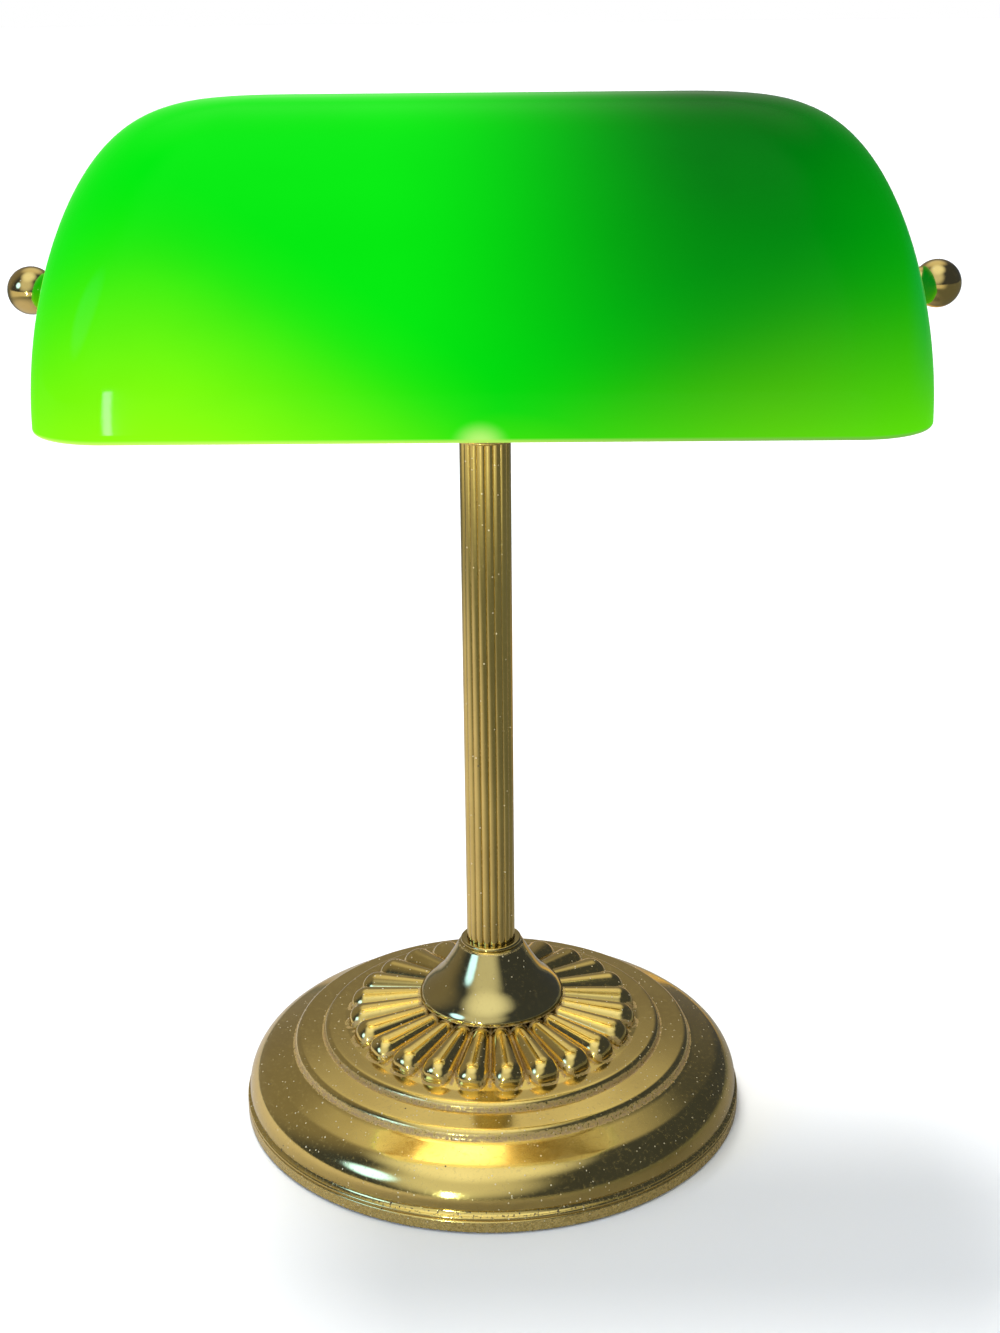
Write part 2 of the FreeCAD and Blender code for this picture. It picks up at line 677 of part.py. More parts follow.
def inner_washer(side):
    washer = ring(WASHER_RUBBER_R, STUD_R + SLIP, 0, INNER_WASHER_T)
    return facing_x(washer, side * (pad_inner_x - INNER_WASHER_T), 0, pivot_z, side)


def outer_washer(side):
    washer = ring(WASHER_RUBBER_R, STUD_R + SLIP, 0, OUTER_WASHER_T)
    return facing_x(washer, side * pad_outer_x, 0, pivot_z, side)


def shade_bush(side):
    bush = ring(STUD_R + SLIP + BUSH_WALL, STUD_R + SLIP, 0, SHADE_WALL)
    return facing_x(bush, side * pad_inner_x, 0, pivot_z, side)


def ball_knob(side):
    """A turned ball on a short neck and a flange, with a blind hole for the stud."""
    neck_start = KNOB_FLANGE_T
    neck_end = KNOB_FLANGE_T + KNOB_NECK_L
    centre = ball_x - knob_start_x
    body = turned([
        (0, 0),
        (KNOB_FLANGE_R - 0.3, 0),
        ("arc", (KNOB_FLANGE_R, neck_start / 2), (KNOB_FLANGE_R - 0.3, neck_start)),
        ("arc", (KNOB_NECK_R - 0.2, (neck_start + neck_end) / 2), (KNOB_NECK_R, neck_end)),
        ("arc", (KNOB_BALL_R, centre), (0, centre + KNOB_BALL_R)),
    ])
    body = body.cut(disc(STUD_R + SHAFT_SLIP, -1, KNOB_BORE_DEPTH + 1))
    return facing_x(body, side * knob_start_x, 0, pivot_z, side)


# ---- shade ----------------------------------------------------------------------------------
def shade_section(climb, inset):
    """The rounded oblong that the shade's surface makes at one height."""
    half_length = shade_half_length(climb, inset)
    half_depth = shade_half_depth(climb, inset)
    share = (SHADE_CORNER_R - inset) / (SHADE_DEPTH / 2 - inset)
    corner = half_depth * (share + (CROWN_ROUNDNESS - share) * math.sin(climb) ** 2)
    z = rim_z + (SHADE_H - inset) * math.sin(climb)
    straight_x = half_length - corner
    straight_y = half_depth - corner
    diagonal = corner * math.sqrt(0.5)
    edges = []
    for sx, sy in ((1, -1), (1, 1), (-1, 1), (-1, -1)):
        side_point = V(sx * half_length, sy * straight_y, z)
        front_point = V(sx * straight_x, sy * half_depth, z)
        middle = V(sx * (straight_x + diagonal), sy * (straight_y + diagonal), z)
        first, last = (front_point, side_point) if sx * sy < 0 else (side_point, front_point)
        if edges:
            edges.append(Part.makeLine(edges[-1].lastVertex(True).Point, first))
        edges.append(Part.Arc(first, middle, last).toShape())
    edges.append(Part.makeLine(edges[-1].lastVertex(True).Point, edges[0].firstVertex(True).Point))
    return Part.Wire(edges)


def shade_body(inset, skirt=0.0):
    """A closed solid inside the shade's surface, moved inwards by inset. A skirt carries it below the rim."""
    climbs = [math.radians(a) for a in (0, 14, 28, 41, 53, 63, 71, 77.5, 82.5, 86.5, 90)]
    body = Part.makeLoft([shade_section(c, inset) for c in climbs], True, False, False, 3)
    if skirt:
        foot = Part.Face(shade_section(0.0, inset)).extrude(V(0, 0, -skirt))
        body = body.fuse(foot)
    return body


def shade_glass():
    """The trough-shaped glass, open below, with a flat pad and a hole at each pivot."""
    glass = shade_body(0.0)
    for side in (-1, 1):
        pad = rod_along(X_AXIS, PAD_R, V(side * (pad_outer_x + pad_inner_x) / 2 - SHADE_WALL / 2, 0, pivot_z),
                        SHADE_WALL)
        glass = glass.fuse(pad)
    hollow = shade_body(SHADE_WALL, skirt=2.0)
    keep = [rod_along(X_AXIS, PAD_R, V(min(side * pad_outer_x, side * pad_inner_x), 0, pivot_z), SHADE_WALL)
            for side in (-1, 1)]
    glass = glass.cut(hollow).fuse(keep)
    for side in (-1, 1):
        outside_x = pad_outer_x if side > 0 else -pad_outer_x - PAD_R
        inside_x = pad_inner_x - PAD_R if side > 0 else -pad_inner_x
        glass = glass.cut(rod_along(X_AXIS, PAD_R, V(outside_x, 0, pivot_z), PAD_R))
        glass = glass.cut(rod_along(X_AXIS, PAD_R, V(inside_x, 0, pivot_z), PAD_R))
    hole_r = STUD_R + SLIP + BUSH_WALL + SLIP
    glass = glass.cut(rod_along(X_AXIS, hole_r, V(-SHADE_LENGTH, 0, pivot_z), 2 * SHADE_LENGTH))
    return with_round_rim(glass)


def with_round_rim(glass):
    """Rounds the ground edges of the rim."""
    rim_edges = [e for e in glass.Edges if all(abs(v.Z - rim_z) < 1e-4 for v in e.Vertexes)
                 and abs(e.CenterOfMass.z - rim_z) < 1e-4]
    return glass.makeFillet(min(RIM_ROUND, SHADE_WALL * 0.45), rim_edges)


# ---- socket ---------------------------------------------------------------------------------
def on_lamp_axis(shape):
    """Puts a piece made about +Z, with 0 at the bracket's face, on the bulb's axis towards -X."""
    return facing_x(shape, bracket_face_x, 0, lamp_z, -1)


def socket_bracket():
    """An L of brass strip: its foot is clamped on the yoke, its upright carries the socket."""
    foot = Part.makeBox(bracket_face_x + BRACKET_T + BRACKET_W / 2, BRACKET_W, BRACKET_T,
                        V(-BRACKET_W / 2, -BRACKET_W / 2, yoke_top))
    upright = Part.makeBox(BRACKET_T, BRACKET_W, lamp_z - yoke_top,
                           V(bracket_face_x, -BRACKET_W / 2, yoke_top))
    head = rod_along(X_AXIS, BRACKET_HEAD_R, V(bracket_face_x, 0, lamp_z), BRACKET_T)
    body = foot.fuse([upright, head]).removeSplitter()
    body = body.cut(disc(ROD_R + SLIP, yoke_top - 1, BRACKET_T + 2))
    body = body.cut(rod_along(X_AXIS, NIPPLE_R + SLIP, V(bracket_face_x - 1, 0, lamp_z), BRACKET_T + 2))
    return body.cut(rod_along(X_AXIS, grommet_hole_r(), V(bracket_face_x - 1, 0, lead_z), BRACKET_T + 2))


def grommet_hole_r():
    return LEAD_SPACING / 2 + LEAD_R + SLIP + GROMMET_WALL + SLIP


def lead_grommet():
    """The soft ring that keeps the leads off the edge of the bracket."""
    bore_r = LEAD_SPACING / 2 + LEAD_R + SLIP
    sleeve_r = bore_r + GROMMET_WALL
    flange_r = sleeve_r + GROMMET_FLANGE
    length = BRACKET_T + 2 * GROMMET_FLANGE
    body = Part.makeCylinder(sleeve_r, length)
    for start in (0, GROMMET_FLANGE + BRACKET_T):
        body = body.fuse(disc(flange_r, start, GROMMET_FLANGE))
    body = body.cut(disc(bore_r, -1, length + 2))
    return facing_x(body, bracket_face_x - GROMMET_FLANGE, 0, lead_z)


def socket_nipple():
    inside = CAP_BOSS_L + 4.0
    tube = ring(NIPPLE_R, NIPPLE_BORE_R, -BRACKET_T - NIPPLE_OUT, BRACKET_T + NIPPLE_OUT + inside)
    return on_lamp_axis(tube)


def socket_nipple_nut():
    nut = hex_nut(NIPPLE_NUT_AF, NIPPLE_R, NIPPLE_NUT_H)
    nut.translate(V(0, 0, -BRACKET_T - NIPPLE_NUT_H))
    return on_lamp_axis(nut)


def socket_cap():
    """The domed brass cap at the back of the socket."""
    sheet = CAP_SHEET
    skirt_start = CAP_LENGTH - CAP_SKIRT
    cap = turned([
        (0, 0),
        (CAP_BOSS_R, 0),
        (CAP_BOSS_R, CAP_BOSS_L),
        ("arc", (SOCKET_R - 1.9, CAP_BOSS_L + 2.2), (SOCKET_R + sheet, skirt_start)),
        (SOCKET_R + sheet, CAP_LENGTH),
        (SOCKET_R, CAP_LENGTH),
        (SOCKET_R, skirt_start),
        ("arc", (SOCKET_R - 2.7, CAP_BOSS_L + 3.1), (CAP_BOSS_R - 0.4, CAP_BOSS_L + sheet)),
        (0, CAP_BOSS_L + sheet),
    ])
    return on_lamp_axis(cap.cut(disc(NIPPLE_R, -1, CAP_LENGTH)))


def socket_shell():
    """The brass shell, with a rolled bead at its mouth and a hole for the switch shaft."""
    start = CAP_LENGTH - CAP_SKIRT
    bead = SOCKET_BEAD_R
    bead_z = SOCKET_LENGTH - SOCKET_BEAD_BACK
    outer_r = SOCKET_R - SLIP
    inner_r = SOCKET_R - SOCKET_SHEET
    body = turned([
        (inner_r, start),
        (outer_r, start),
        (outer_r, bead_z - bead),
        ("arc", (outer_r + bead, bead_z), (outer_r, bead_z + bead)),
        (outer_r, SOCKET_LENGTH),
        (inner_r, SOCKET_LENGTH),
    ])
    return on_lamp_axis(body).cut(switch_hole())


def socket_liner():
    start = CAP_LENGTH - 2.0
    outer_r = SOCKET_R - SOCKET_SHEET - SLIP
    liner = ring(outer_r, outer_r - LINER_T, start, SOCKET_LENGTH - 1.0 - start)
    return on_lamp_axis(liner).cut(switch_hole())


def switch_hole():
    return rod_along(Y_AXIS, SWITCH_SHAFT_R + 0.5, V(switch_x, 0, lamp_z), SOCKET_R + 5)


def socket_core():
    """The moulded body that carries the terminals, the contact, the screw shell and the switch."""
    core = disc(core_r, CORE_SETBACK, CORE_LENGTH)
    core = on_lamp_axis(core)
    bore_start = core_r - SWITCH_SHAFT_DEPTH
    core = core.cut(rod_along(Y_AXIS, SWITCH_SHAFT_R + SHAFT_SLIP, V(switch_x, bore_start - 0.5, lamp_z),
                              core_r))
    for screw in terminal_positions():
        core = core.cut(rod_along(X_AXIS, TERMINAL_SHANK_R + SLIP,
                                  V(bracket_face_x - CORE_SETBACK - TERMINAL_SHANK_L - 1, *screw),
                                  TERMINAL_SHANK_L + 2))
    return core


def terminal_positions():
    return [(0, lamp_z + TERMINAL_OFFSET), (0, lamp_z - TERMINAL_OFFSET)]


def terminal_screws():
    """Two cheese-head screws in the back of the core."""
    screws = []
    for y, z in terminal_positions():
        shank = disc(TERMINAL_SHANK_R, -TERMINAL_SHANK_L, TERMINAL_SHANK_L)
        slot = Part.makeBox(2 * TERMINAL_R, TERMINAL_SLOT, TERMINAL_SLOT,
                            V(-TERMINAL_R, -TERMINAL_SLOT / 2, TERMINAL_H - TERMINAL_SLOT))
        screw = shank.fuse(disc(TERMINAL_R, 0, TERMINAL_H)).cut(slot)
        screws.append(facing_x(screw, bracket_face_x - CORE_SETBACK, y, z))
    return screws


def screw_shell():
    """The threaded metal liner that the bulb screws into."""
    start = CORE_SETBACK + CORE_LENGTH
    length = SOCKET_LENGTH - 3.0 - start
    inner = screw_shell_inner_r
    outer = inner + SCREW_SHELL_T + THREAD_DEPTH
    steps = [(0, start), (outer - THREAD_DEPTH / 2, start)]
    steps += threaded_outline(outer, start, length, THREAD_PITCH, THREAD_DEPTH) + [(0, start + length)]
    return on_lamp_axis(turned(steps).cut(disc(inner, start - 1, length + 2)))


def centre_contact():
    """The sprung brass tab that meets the bulb's tip."""
    tab = Part.makeBox(CONTACT_L, CONTACT_W, CONTACT_T, V(-CONTACT_L / 2, -CONTACT_W / 2, contact_back_x))
    return on_lamp_axis(tab)


def switch_shaft():
    start = core_r - SWITCH_SHAFT_DEPTH
    length = SOCKET_R + SWITCH_KNOB_GAP + SWITCH_KNOB_L - 2.0 - start
    return rod_along(Y_AXIS, SWITCH_SHAFT_R, V(switch_x, start, lamp_z), length)


def switch_knob():
    """The fluted turn knob of the switch, at the back of the socket."""
    body = turned([
        (0, 0),
        (SWITCH_KNOB_R * 0.72, 0),
        (SWITCH_KNOB_R, SWITCH_KNOB_TAPER),
        (SWITCH_KNOB_R, SWITCH_KNOB_L - 1.2),
        ("arc", (SWITCH_KNOB_R - 0.35, SWITCH_KNOB_L - 0.35), (SWITCH_KNOB_R - 1.2, SWITCH_KNOB_L)),
        (0, SWITCH_KNOB_L),
    ])
    cutter = Part.makeCylinder(SWITCH_FLUTE_R, SWITCH_KNOB_L)
    flutes = []
    for k in range(SWITCH_KNOB_FLUTES):
        flute = cutter.copy()
        x, y = on_circle((0, 0), SWITCH_KNOB_R + 0.2, 360 * k / SWITCH_KNOB_FLUTES)
        flute.translate(V(x, y, SWITCH_KNOB_TAPER))
        flutes.append(flute)
    body = body.cut(flutes).cut(disc(SWITCH_SHAFT_R, -1, SWITCH_KNOB_L - 1.0))
    return facing_y(body, switch_x, SOCKET_R + SWITCH_KNOB_GAP, lamp_z)


# ---- bulb -----------------------------------------------------------------------------------
def on_bulb_axis(shape):
    """Puts a piece made about +Z, with 0 at the bulb's contact, on the bulb's axis towards -X."""
    return facing_x(shape, bulb_tip_x, 0, lamp_z, -1)


def bulb_cap():
    """The screw cap of the bulb, with rings for its thread."""
    start = BULB_TIP_L
    thread_l = BULB_CAP_L - 2 * BULB_CAP_TAPER
    thread_start = start + BULB_CAP_TAPER
    half_way_r = BULB_CAP_R - THREAD_DEPTH / 2
    steps = [(0, start), (BULB_CAP_R * BULB_TIP_SHARE, start), (half_way_r, thread_start)]
    steps += threaded_outline(BULB_CAP_R, thread_start, thread_l, THREAD_PITCH, THREAD_DEPTH)
    steps += [(half_way_r, start + BULB_CAP_L), (0, start + BULB_CAP_L)]
    cap = turned(steps).cut(disc(bulb_cap_bore_r, thread_start + 1, BULB_CAP_L))
    return on_bulb_axis(cap)


def bulb_tip():
    """The dark insulator and the lead-grey contact at the end of the cap."""
    rounding = 1.4
    body = turned([
        (0, 0),
        (BULB_CONTACT_R, 0),
        round_corner((BULB_CONTACT_R, rounding), rounding, -90, 0),
        (BULB_CAP_R * BULB_TIP_SHARE, BULB_TIP_L),
        (0, BULB_TIP_L),
    ])
    return on_bulb_axis(body)


def bulb_outline(offset):
    """The tubular envelope from its neck, inside the cap, to its round end."""
    neck_r = bulb_cap_bore_r - SLIP - offset
    tube_r = BULB_R - offset
    start = BULB_TIP_L + BULB_CAP_L * 0.5 + offset
    neck_end = BULB_TIP_L + BULB_CAP_L + 0.5
    end = BULB_LENGTH - offset
    corner = tube_r * math.sqrt(0.5)
    middle = ((neck_r + tube_r) / 2, neck_end + BULB_NECK_L / 2)
    return [
        (0, start),
        (neck_r, start),
        (neck_r, neck_end),
        ("curve", [middle, (tube_r, neck_end + BULB_NECK_L)]),
        (tube_r, end - tube_r),
        ("arc", (corner, end - tube_r + corner), (0, end)),
    ]


def bulb_glass():
    envelope = turned(bulb_outline(0)).cut(turned(bulb_outline(BULB_WALL)))
    return on_bulb_axis(envelope)


def mount_front():
    return BULB_TIP_L + BULB_CAP_L * 0.5 + BULB_WALL + MOUNT_L


def bulb_mount():
    """The glass stem inside the bulb, with the wires that hold the filament."""
    start = BULB_TIP_L + BULB_CAP_L * 0.5 + BULB_WALL
    stem = disc(MOUNT_R, start, MOUNT_L)
    near, far = filament_ends()
    beside = FILAMENT_R + SUPPORT_R + SHAFT_SLIP / 2
    wires = []
    for head_z, side in ((near + SUPPORT_HOLD, 1), (far, -1)):
        foot = V(0, side * MOUNT_R * 0.5, mount_front() - 1)
        head = V(0, side * beside, head_z)
        hold = V(0, side * beside, head_z - SUPPORT_HOLD)
        middle = V(0, side * FILAMENT_RISE, (foot.z + hold.z) / 2)
        wires.append(bent_wire([foot, middle, hold, head], SUPPORT_R))
    return on_bulb_axis(stem.fuse(wires))


def filament_ends():
    near = mount_front() + 12.0
    return near, near + FILAMENT_LENGTH


def filament():
    near, _ = filament_ends()
    return on_bulb_axis(disc(FILAMENT_R, near, FILAMENT_LENGTH))


# ---- leads ----------------------------------------------------------------------------------
def bent_wire(points, radius, share=0.45, longest_bend=6.0):
    """A round wire along straight runs joined by arcs, each as large as its runs allow."""
    edges = []
    here = points[0]
    for k in range(1, len(points) - 1):
        corner = points[k]
        before = (corner - points[k - 1])
        after = (points[k + 1] - corner)
        reach = min(share * before.Length, share * after.Length, longest_bend)
        before.normalize()
        after.normalize()
        if before.getAngle(after) < 1e-3:
            continue
        start = corner - before * reach
        end = corner + after * reach
        bisector = (after - before)
        bisector.normalize()
        half_turn = before.getAngle(after) / 2
        bend_r = reach / math.tan(half_turn)
        sagitta = bend_r / math.cos(half_turn) - bend_r
        edges.append(Part.makeLine(here, start))
        edges.append(Part.Arc(start, corner + bisector * sagitta, end).toShape())
        here = end
    edges.append(Part.makeLine(here, points[-1]))
    path = Part.Wire(edges)
    direction = (points[1] - points[0])
    direction.normalize()
    section = Part.Wire(Part.makeCircle(radius, points[0], direction))
    return path.makePipeShell([section], True, False)


def lead(side):
    """One insulated lead: out of the rod, under the socket, through the bracket and back into the nipple."""
    y = side * LEAD_SPACING / 2
    out_x = bracket_face_x + BRACKET_T
    loop_x = out_x + LEAD_LOOP
    rise = lamp_z - lead_z
    corners = [
        (0, rod_bottom - LEAD_BELOW_ROD),
        (0, lead_z),
        (out_x + LEAD_LOOP * 0.42, lead_z),
        (loop_x, lead_z + rise * 0.35),
        (loop_x, lead_z + rise * 0.68),
        (out_x + LEAD_LOOP * 0.5, lamp_z),
        (bracket_face_x - CORE_SETBACK + TERMINAL_H, lamp_z),
    ]
    return bent_wire([V(x, y, z) for x, z in corners], LEAD_R)


# ---- export ---------------------------------------------------------------------------------
def solids_of(shapes):
    """Every solid in a shape or a list of shapes, as one compound."""
    listed = shapes if isinstance(shapes, (list, tuple)) else [shapes]
    found = []
    for shape in listed:
        found += shape.Solids
    return Part.makeCompound(found)


def all_parts():
    parts = {
        "felt_pad": felt_pad,
        "base_plate": base_plate,
        "base_weight": base_weight,
        "base_shell": base_shell,
        "cord_bushing": cord_bushing,
        "threaded_rod": threaded_rod,
        "base_lock_washer": lambda: lock_washer(bottom_washer_z),
        "base_nut": lambda: nut_on_rod(bottom_nut_z),
        "stem_collar": stem_collar,
        "stem_tube": stem_tube,
        "stem_cup": stem_cup,
        "yoke": yoke,
        "socket_bracket": socket_bracket,
        "top_lock_washer": lambda: lock_washer(bracket_top),
        "top_nut": lambda: nut_on_rod(top_nut_z),
        "lead_grommet": lead_grommet,
        "socket_nipple": socket_nipple,
        "socket_nipple_nut": socket_nipple_nut,
        "socket_cap": socket_cap,
        "socket_shell": socket_shell,
        "socket_liner": socket_liner,
        "socket_core": socket_core,
        "terminal_screws": terminal_screws,
        "socket_screw_shell": screw_shell,
        "centre_contact": centre_contact,
        "switch_shaft": switch_shaft,
        "switch_knob": switch_knob,
        "bulb_cap": bulb_cap,
        "bulb_tip": bulb_tip,
        "bulb_glass": bulb_glass,
        "bulb_mount": bulb_mount,
        "bulb_filament": filament,
        "lead_live": lambda: lead(1),
        "lead_neutral": lambda: lead(-1),
        "shade_glass": shade_glass,
    }
    for name, side in (("left", -1), ("right", 1)):
        parts["pivot_stud_" + name] = lambda side=side: pivot_stud(side)
        parts["inner_washer_" + name] = lambda side=side: inner_washer(side)
        parts["shade_bush_" + name] = lambda side=side: shade_bush(side)
        parts["outer_washer_" + name] = lambda side=side: outer_washer(side)
        parts["ball_knob_" + name] = lambda side=side: ball_knob(side)
    return parts


def main():
    os.makedirs("parts", exist_ok=True)
    for name, make in all_parts().items():
        shape = solids_of(make())
        shape.exportStep(os.path.join("parts", name + ".step"))
        box = shape.optimalBoundingBox(False)
        print("%-20s solids %d valid %s volume %.0f  x %.2f..%.2f y %.2f..%.2f z %.2f..%.2f" % (
            name, len(shape.Solids), shape.isValid(), shape.Volume,
            box.XMin, box.XMax, box.YMin, box.YMax, box.ZMin, box.ZMax))


main()
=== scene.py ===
# %% [markdown]
# # A banker desk lamp
# The lamp was already worked out as solids: every piece has its real size, its place and the body
# that it moves with. This notebook loads those solids as a fixed frame and dresses them. Pieces
# that show are made again here as fine meshes, from the same few sizes, and the rest keep their
# solids and get a finish. Lengths are in metres. The lamp stands on the origin, +Z is up, and the
# camera looks along +Y.

# %% Load the frame
import math

import bmesh
import bpy
from mathutils import Matrix, Vector


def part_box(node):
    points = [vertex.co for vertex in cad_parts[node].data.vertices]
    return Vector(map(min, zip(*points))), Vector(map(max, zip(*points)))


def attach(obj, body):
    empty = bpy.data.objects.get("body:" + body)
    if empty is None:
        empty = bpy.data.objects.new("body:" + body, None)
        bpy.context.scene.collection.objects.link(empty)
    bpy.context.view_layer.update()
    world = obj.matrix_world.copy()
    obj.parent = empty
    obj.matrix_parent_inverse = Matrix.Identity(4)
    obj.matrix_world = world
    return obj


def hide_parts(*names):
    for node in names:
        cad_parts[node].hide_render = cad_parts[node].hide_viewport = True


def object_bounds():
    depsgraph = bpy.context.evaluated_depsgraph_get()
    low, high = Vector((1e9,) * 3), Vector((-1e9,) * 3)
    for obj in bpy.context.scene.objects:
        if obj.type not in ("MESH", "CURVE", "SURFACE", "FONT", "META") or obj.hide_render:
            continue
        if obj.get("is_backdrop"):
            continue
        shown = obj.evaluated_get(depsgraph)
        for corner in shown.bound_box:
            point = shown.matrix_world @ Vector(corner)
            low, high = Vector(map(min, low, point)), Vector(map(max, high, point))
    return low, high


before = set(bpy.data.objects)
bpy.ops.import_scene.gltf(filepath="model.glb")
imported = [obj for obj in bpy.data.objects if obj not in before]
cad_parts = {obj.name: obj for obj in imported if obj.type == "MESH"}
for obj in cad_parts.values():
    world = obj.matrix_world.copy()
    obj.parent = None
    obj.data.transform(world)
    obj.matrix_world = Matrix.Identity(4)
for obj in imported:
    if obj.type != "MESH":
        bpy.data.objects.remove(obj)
cad_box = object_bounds()
MM = 0.001


def half_size(node, axis):
    """Half of a node's size along the axis, which is "x", "y" or "z"."""
    low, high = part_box(node)
    return (getattr(high, axis) - getattr(low, axis)) / 2


def middle_height(node):
    low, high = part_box(node)
    return (low.z + high.z) / 2


# %% [markdown]
# ## A small language for nodes
# Finishes and repeated shapes are both drawn with nodes. Written out link by link they are hard to
# read, so one class wraps a socket and lets Python's operators add the Math nodes, and one method
# of a second class makes any other node from its type, its settings and its inputs. The same two
# classes serve shader trees and geometry trees.

# %% Sockets as numbers
class Value:
    """A socket that can be used in an expression."""

    def __init__(self, tree, socket):
        self.tree = tree
        self.socket = socket

    def math(self, operation, *others):
        return self.tree.node("ShaderNodeMath", {"operation": operation}, [self, *others])

    def flipped(self, operation, other):
        return self.tree.node("ShaderNodeMath", {"operation": operation}, [other, self])

    def __add__(self, other):
        return self.math("ADD", other)

    def __sub__(self, other):
        return self.math("SUBTRACT", other)

    def __rsub__(self, other):
        return self.flipped("SUBTRACT", other)

    def __mul__(self, other):
        return self.math("MULTIPLY", other)

    def __truediv__(self, other):
        return self.math("DIVIDE", other)

    def __rtruediv__(self, other):
        return self.flipped("DIVIDE", other)

    def __pow__(self, other):
        return self.math("POWER", other)

    def __abs__(self):
        return self.math("ABSOLUTE")

    __radd__ = __add__
    __rmul__ = __mul__

    def least(self, other):
        return self.math("MINIMUM", other)

    def most(self, other):
        return self.math("MAXIMUM", other)

    def rise(self, low, high):
        """0 up to low, 1 from high on, and a smooth slope between."""
        inputs = {"Value": self, "From Min": low, "From Max": high}
        return self.tree.node("ShaderNodeMapRange", {"interpolation_type": "SMOOTHSTEP"}, inputs)

    def out(self, name):
        """Another output of the node that this socket belongs to."""
        return Value(self.tree, self.socket.node.outputs[name])


# %% Trees that make nodes
class Tree:
    """A shader or geometry tree that nodes are added to."""

    def __init__(self, nodes):
        self.nodes = nodes

    def node(self, kind, settings=None, inputs=(), output=0):
        made = self.nodes.nodes.new(kind)
        for name, value in (settings or {}).items():
            setattr(made, name, value)
        pairs = inputs.items() if isinstance(inputs, dict) else enumerate(inputs)
        for key, value in pairs:
            self.feed(made.inputs[key], value)
        return Value(self, made.outputs[output])

    def feed(self, socket, value):
        if isinstance(value, Value):
            self.nodes.links.new(value.socket, socket)
        else:
            socket.default_value = value

    def mix(self, share, first, second):
        """A colour between two colours."""
        first, second = (c if isinstance(c, Value) else (*c, 1.0) for c in (first, second))
        inputs = {0: share, 6: first, 7: second}
        return self.node("ShaderNodeMix", {"data_type": "RGBA"}, inputs, output=2)


# %% [markdown]
# A finish starts from what is the same all over, such as how metallic it is, and that is set on
# the shader's own sockets. What varies over the surface comes from a function of the place on the
# piece, and is fed in afterwards.

# %% Materials
class Place:
    """Where a point of the piece is, as a vector and as its x, y and z."""

    def __init__(self, tree, output="Object"):
        self.vector = tree.node("ShaderNodeTexCoord", output=output)
        parts = tree.node("ShaderNodeSeparateXYZ", None, [self.vector])
        self.x, self.y, self.z = (parts.out(axis) for axis in "XYZ")

    def from_axis(self):
        """The distance from the lamp's axis."""
        return (self.x * self.x + self.y * self.y) ** 0.5


def new_material(name, constants, vary):
    """A finish with constant inputs, and the varying ones that vary(tree, at) gives by name."""
    material = bpy.data.materials.new(name)
    material.use_nodes = True
    shader = material.node_tree.nodes["Principled BSDF"]
    for key, value in constants.items():
        shader.inputs[key].default_value = value
    tree = Tree(material.node_tree)
    for key, value in vary(tree, Place(tree)).items():
        tree.feed(shader.inputs[key], value)
    return material


# %% Clouds, specks and bumps
def noise(at, scale, detail=3.0, stretch=None):
    """Soft noise with that many clouds to the metre, stretched along the axes if asked."""
    tree, where = at.vector.tree, at.vector
    if stretch:
        where = tree.node("ShaderNodeVectorMath", {"operation": "MULTIPLY"}, [where, stretch])
    inputs = {"Vector": where, "Scale": scale, "Detail": detail}
    return tree.node("ShaderNodeTexNoise", None, inputs)


def specks(at, scale, share, size):
    """Separate round spots: a share of a pattern's cells holds one, as large as size of a cell."""
    tree = at.vector.tree
    cells = tree.node("ShaderNodeTexVoronoi", None, {"Vector": at.vector, "Scale": scale})
    chance = tree.node("ShaderNodeSeparateColor", None, [cells.out("Color")])
    spot = 1 - cells.out("Distance").rise(size * 0.5, size)
    return spot * (1 - chance.out("Red").rise(share * 0.8, share))


def bump(height, strength, distance):
    inputs = {"Height": height, "Strength": strength, "Distance": distance}
    return height.tree.node("ShaderNodeBump", None, inputs)


# %% [markdown]
# ## Shapes from an outline
# Most of a lamp is turned or spun on a lathe, so most pieces here are an outline carried round an
# axis. Blender's Screw modifier does that too, but a short function gives exact rings, closes the
# poles and lets the piece point along any axis.

# %% Put a piece in
def add_piece(name, mesh, material, body, replaced=()):
    """Puts a finished mesh into the scene, on its body, in the place of its solids."""
    mesh.name = name
    mesh.materials.clear()
    mesh.materials.append(material)
    piece = bpy.data.objects.new(name, mesh)
    bpy.context.scene.collection.objects.link(piece)
    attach(piece, body)
    if replaced:
        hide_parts(*replaced)


# %% Turn an outline
def arc(centre, radius, start, end, steps):
    """Points on a circle, by angles in degrees from the outward direction of the outline."""
    angles = [math.radians(start + (end - start) * k / steps) for k in range(steps + 1)]
    return [(centre[0] + radius * math.cos(a), centre[1] + radius * math.sin(a)) for a in angles]


def smooth_mesh(mesh, sharp_angle):
    """Shades the mesh smooth, except across corners sharper than the angle in degrees."""
    mesh.shade_smooth()
    mesh.set_sharp_from_angle(angle=math.radians(sharp_angle))
    return mesh


def mesh_from(work, sharp_angle=38.0):
    """A mesh from a bmesh: welded, faces outward, smooth except across sharp corners."""
    bmesh.ops.remove_doubles(work, verts=work.verts, dist=1e-6)
    bmesh.ops.recalc_face_normals(work, faces=work.faces)
    mesh = bpy.data.meshes.new("made")
    work.to_mesh(mesh)
    work.free()
    return smooth_mesh(mesh, sharp_angle)


def join_rings(work, low, high):
    """Faces between two rings of points, of which one may be a single point."""
    count = max(len(low), len(high))
    for k in range(count):
        after = (k + 1) % count
        corners = [low[k % len(low)], low[after % len(low)],
                   high[after % len(high)], high[k % len(high)]]
        unique = list(dict.fromkeys(corners))
        if len(unique) > 2:
            work.faces.new(unique)


